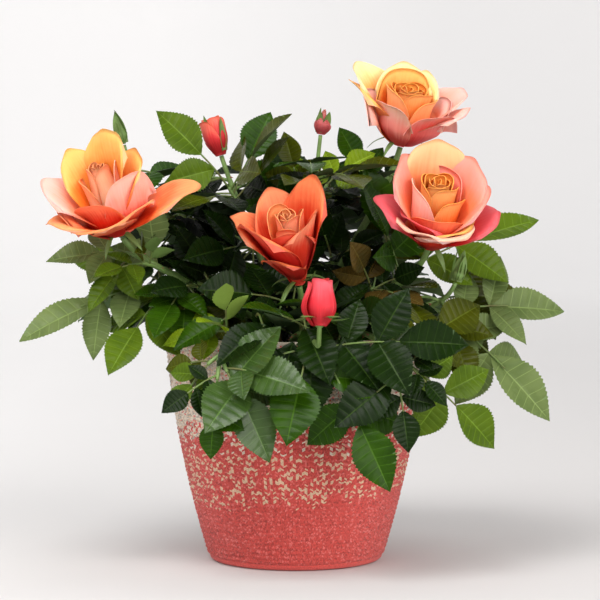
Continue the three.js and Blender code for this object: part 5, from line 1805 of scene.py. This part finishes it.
def wound_petal(heap, place, form, thickness, seed, marks):
    """A petal wound round the axis. Its form is: turn, radius, foot, height, half its sweep in degrees, how
    far its rim closes, how far it flares, how far the rim falls from its middle to its sides, and the share
    of its height at which it is widest."""
    turn, radius, foot, height, sweep, closing, flare, slope, widest = form
    u, v = petal_grid(WOUND_LINES, WOUND_SPANS)
    swell = 0.4 + 0.6 * np.sin(np.pi / 2 * np.clip(u / widest, 0, 1))
    late = np.clip((u - widest) / (1 - widest), 0, 1)
    ring = radius * swell * (1 - closing * late * late * (3 - 2 * late)) + flare * radius * u ** 4
    ring = ring * (1 + 0.13 * v) + 0.05 * radius * np.exp((u - 1) * 12)
    rim_slope = slope * (0.1 * v ** 2 + 0.9 * v ** 4) * u ** 2
    up = foot + height * (u - rim_slope + 0.02 * np.sin(3 * v + seed) * u ** 4)
    angle = rad(turn) + v * rad(sweep)
    layers = []
    for side in (-0.5, 0.5):
        out = ring + side * thickness
        layers.append(np.stack((out * np.cos(angle), out * np.sin(angle), up), axis=2).reshape(-1, 3))
    closed_petal(heap, layers, petal_places(u, v, seed), place, WOUND_LINES + 1, WOUND_SPANS + 1, marks)


def add_heart(heap, place, heart, thickness, marks, seed):
    """The closed centre: petals wound tightly round the axis, each outer one a little wider."""
    _, _, length, radius, closing, flare, _ = heart
    for k in range(HEART_PETALS):
        part = k / (HEART_PETALS - 1)
        form = (
            GOLDEN_TURN * k + 20, radius * (0.16 + 0.84 * part ** 0.85), 2,
            length * (0.95 + 0.025 * math.sin(2.4 * k)), 92 - 22 * part, closing * (1 - 0.15 * part),
            flare * part, 0.1 + 0.06 * part, 0.5)
        wound_petal(heap, place, form, thickness, seed + k, marks)


def add_sepal(heap, base, ahead, out, length, width, curl, mark):
    """A narrow pointed sepal that curls away along its length."""
    across = unit(cross(ahead, out))
    points, way, at = [], ahead.copy(), base.copy()
    for i in range(SEPAL_LINES + 1):
        u = i / SEPAL_LINES
        wide = width * (math.sin(math.pi * min(0.18 + 0.82 * u, 1)) ** 0.8 + 0.02)
        face = unit(cross(across, way))
        for k in range(SEPAL_SPANS + 1):
            v = 2 * k / SEPAL_SPANS - 1
            points.append(at + across * (v * wide) - face * (0.5 * wide * (1 - v * v) * 0.5))
        way = swung(way, across, curl / SEPAL_LINES)
        at = at + way * length / SEPAL_LINES
    under = [point + unit(out) * 0.25 for point in points]
    quads = grid_faces(SEPAL_LINES + 1, SEPAL_SPANS + 1)
    faces = np.concatenate((quads, quads[:, ::-1] + len(points)))
    heap.add(np.array(points + under), faces, mark)


def add_hip(heap, place, profile, mark):
    points = turned_points(profile, HIP_SIDES)
    heap.add(stood(points, place), grid_faces(len(profile), HIP_SIDES, True), mark)


def sepal_ring(heap, place, height, radius, length, spread, width, curl, mark, seed):
    """Five sepals in a ring at that height and radius, each leaning out by the spread."""
    base, axes = place
    right, back, axis = axes
    for k in range(5):
        turn = rad(72 * k + 20 + 6 * jitter(seed, k))
        out = right * math.cos(turn) + back * math.sin(turn)
        tilt = rad(spread + 8 * jitter(seed, k + 9))
        ahead = axis * math.cos(tilt) + out * math.sin(tilt)
        root = base + axis * height + out * radius - ahead * 1.2
        add_sepal(heap, root, ahead, out, length * (1 + 0.12 * jitter(seed, k + 5)), width, curl, mark)


SEPAL_FINISH = (
    "Sepal", (0.13, 0.23, 0.05), (0.10, 0.13, 0.035), 180.0, 0.6, (0.5, 0.65), (1500.0, 0.4, 0.0003))


def flower_finishes(tones, glow):
    """Inner and outer face of each petal tone, then the green of hip and sepals."""
    made = []
    for tone in tones:
        shades = PETAL_TONES[tone]
        made.append(kept_finish(petal_finish, f"Petal inside {tone}", *shades[:3], glow))
        made.append(kept_finish(petal_finish, f"Petal outside {tone}", *shades[3:], glow))
    made.append(kept_finish(mottled_finish, *SEPAL_FINISH))
    return made


def tone_marks(tones, tone):
    """The finishes of the inner and outer face of a petal in that tone."""
    first = 2 * tones.index(tone)
    return first, first + 1


class ROSE_OT_blooms(bpy.types.Operator):
    """Build the open blooms from ruffled petals round a wound heart"""

    bl_idname = "rose.blooms"
    bl_label = "Open Blooms"

    def execute(self, context):
        settings = context.scene.rose_bloom
        tones = tuple(PETAL_TONES)
        thickness = settings.thickness / MM
        for order, row in enumerate(BLOOMS):
            heap = Heap()
            place = standing(*flower_base(row))
            for k, petal in enumerate(row["petals"]):
                add_petal(heap, petal, place, settings, 20 * order + k, tone_marks(tones, petal[7]))
            heart = row["heart"]
            inside = standing(place[0], heading(*heart[:2]))
            add_heart(heap, inside, heart, thickness, tone_marks(tones, heart[6]), 20 * order + 9)
            for k, (turn, radius, height, sweep, flare, tone) in enumerate(row["wraps"]):
                form = (turn, radius, 2, height, sweep, 0.0, flare, radius * WRAP_ROUNDING, 0.5)
                wound_petal(heap, inside, form, thickness, k + order, tone_marks(tones, tone))
            green = 2 * len(tones)
            add_hip(heap, place, (
                (0.01, 0.3), (STEM_RADIUS, 0.3), (STEM_RADIUS + 0.4, 1.2), (HIP_RADIUS * 0.95, 3.2),
                (HIP_RADIUS, 5), (HIP_RADIUS * 0.8, HIP_LENGTH + 0.4), (0.01, HIP_LENGTH + 3)), green)
            sepal_ring(heap, place, HIP_LENGTH - 1, HIP_RADIUS * 0.7, 20, 88, 1.7, 60, green, order)
            piece = heap.piece(row["name"] + "_petals", flower_finishes(tones, settings.glow), "petal_place")
            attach(piece, "root")
            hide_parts(row["name"])
        return {"FINISHED"}


INSIDE, OUTSIDE, GREEN = range(3)


def add_bud(heap, row, place, settings, seed):
    """A pointed bud: petals wound round each other, in sepals that cover or leave its lower part."""
    base, length, radius, closed = row["neck"], row["length"], row["radius"], row["closed"]
    if not closed:
        for k in range(BUD_PETALS):
            outer = INSIDE if k < 2 else OUTSIDE
            part = k / (BUD_PETALS - 1)
            form = (
                GOLDEN_TURN * k + 60 * seed - 40, radius * (0.6 + 0.4 * part), base,
                length * (1.02 - 0.06 * part), 108 - 34 * part, row["closing"] * (1.15 - 0.15 * part), 0.0,
                row["point"] * (0.6 + 0.8 * part), row["widest"])
            wound_petal(heap, place, form, settings.thickness / MM, seed + k, (INSIDE, outer))
    body, shoulder = (0.86, 0.86) if closed else (0.24, 0.5)
    add_hip(heap, place, (
        (0.01, 0.3), (STEM_RADIUS * 0.9, 0.3), (STEM_RADIUS * 0.85, max(base - 1, 0.6)),
        (radius * 0.42, base + length * 0.06), (radius * 0.62, base + length * 0.16),
        (radius * shoulder, base + length * body * 0.5), (radius * 0.3, base + length * body)), GREEN)
    width = radius * (0.62 if closed or radius < 5 else 0.3)
    curl = -24 if closed else (16 if row["spread"] > 30 else -8)
    ring_height, ring_radius = base + length * 0.15, radius * 0.56
    sepal_ring(heap, place, ring_height, ring_radius, row["sepal"], row["spread"], width, curl, GREEN, seed)


class ROSE_OT_buds(bpy.types.Operator):
    """Build the buds with their sepals"""

    bl_idname = "rose.buds"
    bl_label = "Buds"

    def execute(self, context):
        settings = context.scene.rose_bloom
        for seed, row in enumerate(BUDS):
            heap = Heap()
            add_bud(heap, row, standing(*flower_base(row)), settings, seed)
            finishes = flower_finishes((row["tone"],), settings.glow)
            piece = heap.piece(row["name"] + "_petals", finishes, "petal_place")
            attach(piece, "root")
            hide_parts(row["name"])
        return {"FINISHED"}


# Stage


# Each lamp: name, place, the height on the pot's axis that it is aimed at, size, power and colour.
LAMPS = (
    ("Key", (-0.65, -1.15, 1.9), 0.15, 1.35, 39, (1.0, 0.99, 0.97)),
    ("Fill", (1.4, -1.8, 1.0), 0.12, 2.0, 41, (1.0, 0.97, 0.93)),
    ("Top", (0.1, 0.4, 2.1), 0.15, 1.2, 7, (1.0, 1.0, 1.0)),
)
FLOOR_REACH, SWEEP_RADIUS, WALL_TOP = 2600, 900, 3400
FLOOR_SIDES = 96
LENS, SENSOR = 167.4, 36
AIM_DOWN, EYE_ASIDE = 3.956, 0.0023


def area_light(name, place, aim, size, power, colour):
    lamp = bpy.data.lights.new(name, "AREA")
    lamp.shape = "DISK"
    lamp.size = size
    lamp.energy = power
    lamp.color = colour
    holder = bpy.data.objects.new(name, lamp)
    way = np.array((0, 0, aim)) - np.array(place)
    level = math.hypot(way[0], way[1])
    holder.location = place
    holder.rotation_euler = (math.atan2(level, -way[2]), 0, math.atan2(way[1], way[0]) - math.pi / 2)
    bpy.context.scene.collection.objects.link(holder)


def glowing_floor_finish(colour, backdrop):
    """A matt floor that glows with painted light, more the further it is from the pot, and sooner and further
    on its left as painted light from the left.
    """
    pale = mottled_finish(
        "Pale floor", tuple(colour), tinted(colour, 0.985), 3.0, 0.5, (0.9, 0.95), (40.0, 0.02, 0.001),
        Specular_IOR_Level=0.1)
    tree = pale.node_tree
    place = own_place(tree)
    away = node(tree, "ShaderNodeVectorMath", {0: place}, operation="LENGTH").outputs["Value"]
    aside = node(tree, "ShaderNodeSeparateXYZ", {"Vector": place}).outputs["X"]
    # Painted light from the left: the glow is stronger on the left and rises sooner there
    share = mapped(tree, aside, (-0.25, 0.25), (backdrop * 1.14, backdrop * 0.86))
    glow_steepness = mapped(tree, aside, (-0.25, 0.25), (0.42, 1.0))
    reach = mapped(tree, away, (0.0, 2.4))
    rise = maths(tree, "POWER", reach, glow_steepness)
    lift = maths(tree, "MULTIPLY", rise, share)
    surface = tree.nodes["Principled BSDF"]
    # The floor glows though it is no lamp: painted light on the floor and backdrop
    tree.links.new(lift, surface.inputs["Emission Color"])
    surface.inputs["Emission Strength"].default_value = 1.0
    return pale


class ROSE_OT_stage(bpy.types.Operator):
    """Set the pale floor with its sweep and its painted glow, the soft lights and the camera"""

    bl_idname = "rose.stage"
    bl_label = "Stage"

    def execute(self, context):
        settings = context.scene.rose_stage
        sweep = [(0.01, 0), (400, 0), (1200, 0), (FLOOR_REACH, 0)]
        for turn in np.linspace(0, math.pi / 2, 17)[1:]:
            sweep.append((FLOOR_REACH + SWEEP_RADIUS * math.sin(turn), SWEEP_RADIUS * (1 - math.cos(turn))))
        sweep.append((FLOOR_REACH + SWEEP_RADIUS, WALL_TOP))
        faces = grid_faces(len(sweep), FLOOR_SIDES, True)[:, ::-1].tolist()
        pale = glowing_floor_finish(settings.floor, settings.backdrop)
        floor = new_piece("pale_floor", turned_points(sweep, FLOOR_SIDES), faces, [pale])
        for lamp in LAMPS:
            area_light(*lamp)
        world = bpy.data.worlds.new("Studio")
        world.use_nodes = True
        world.node_tree.nodes["Background"].inputs["Color"].default_value = (1.0, 0.99, 0.98, 1)
        world.node_tree.nodes["Background"].inputs["Strength"].default_value = 0.18
        context.scene.world = world
        eye = bpy.data.cameras.new("Front view")
        eye.lens = LENS
        eye.sensor_width = SENSOR
        holder = bpy.data.objects.new("Front view", eye)
        holder.location = (EYE_ASIDE, -settings.distance, settings.height)
        holder.rotation_euler = (math.pi / 2 - rad(AIM_DOWN), 0, 0)
        context.scene.collection.objects.link(holder)
        context.scene.camera = holder
        context.scene.view_settings.view_transform = "Standard"
        return {"FINISHED"}


class ROSE_PT_panel(bpy.types.Panel):
    """Lists the pieces of the rose bush and their settings"""

    bl_idname = "ROSE_PT_panel"
    bl_label = "Rose Bush"
    bl_space_type = "VIEW_3D"
    bl_region_type = "UI"
    bl_category = "Rose Bush"

    def draw(self, context):
        for settings, operators in PANEL_ROWS:
            box = self.layout.box()
            group = getattr(context.scene, settings)
            for name in group.__annotations__:
                box.prop(group, name)
            for operator in operators:
                box.operator(operator.bl_idname)


PANEL_ROWS = (
    ("rose_pot", (ROSE_OT_pot, ROSE_OT_soil)),
    ("rose_leaf", (ROSE_OT_canes, ROSE_OT_twigs, ROSE_OT_leaves)),
    ("rose_bloom", (ROSE_OT_blooms, ROSE_OT_buds)),
    ("rose_stage", (ROSE_OT_stage,)),
)
SETTINGS = (
    ("rose_pot", RosePotSettings), ("rose_leaf", RoseLeafSettings), ("rose_bloom", RoseBloomSettings),
    ("rose_stage", RoseStageSettings),
)


def register():
    for name, group in SETTINGS:
        bpy.utils.register_class(group)
        setattr(bpy.types.Scene, name, bpy.props.PointerProperty(type=group))
    for _, operators in PANEL_ROWS:
        for operator in operators:
            bpy.utils.register_class(operator)
    bpy.utils.register_class(ROSE_PT_panel)


def unregister():
    bpy.utils.unregister_class(ROSE_PT_panel)
    for _, operators in reversed(PANEL_ROWS):
        for operator in reversed(operators):
            bpy.utils.unregister_class(operator)
    for name, group in reversed(SETTINGS):
        delattr(bpy.types.Scene, name)
        bpy.utils.unregister_class(group)


def main():
    register()
    bpy.ops.rose.pot()
    bpy.ops.rose.soil()
    bpy.ops.rose.canes()
    bpy.ops.rose.twigs()
    bpy.ops.rose.leaves()
    bpy.ops.rose.blooms()
    bpy.ops.rose.buds()
    bpy.ops.rose.stage()


if __name__ == "__main__":
    main()
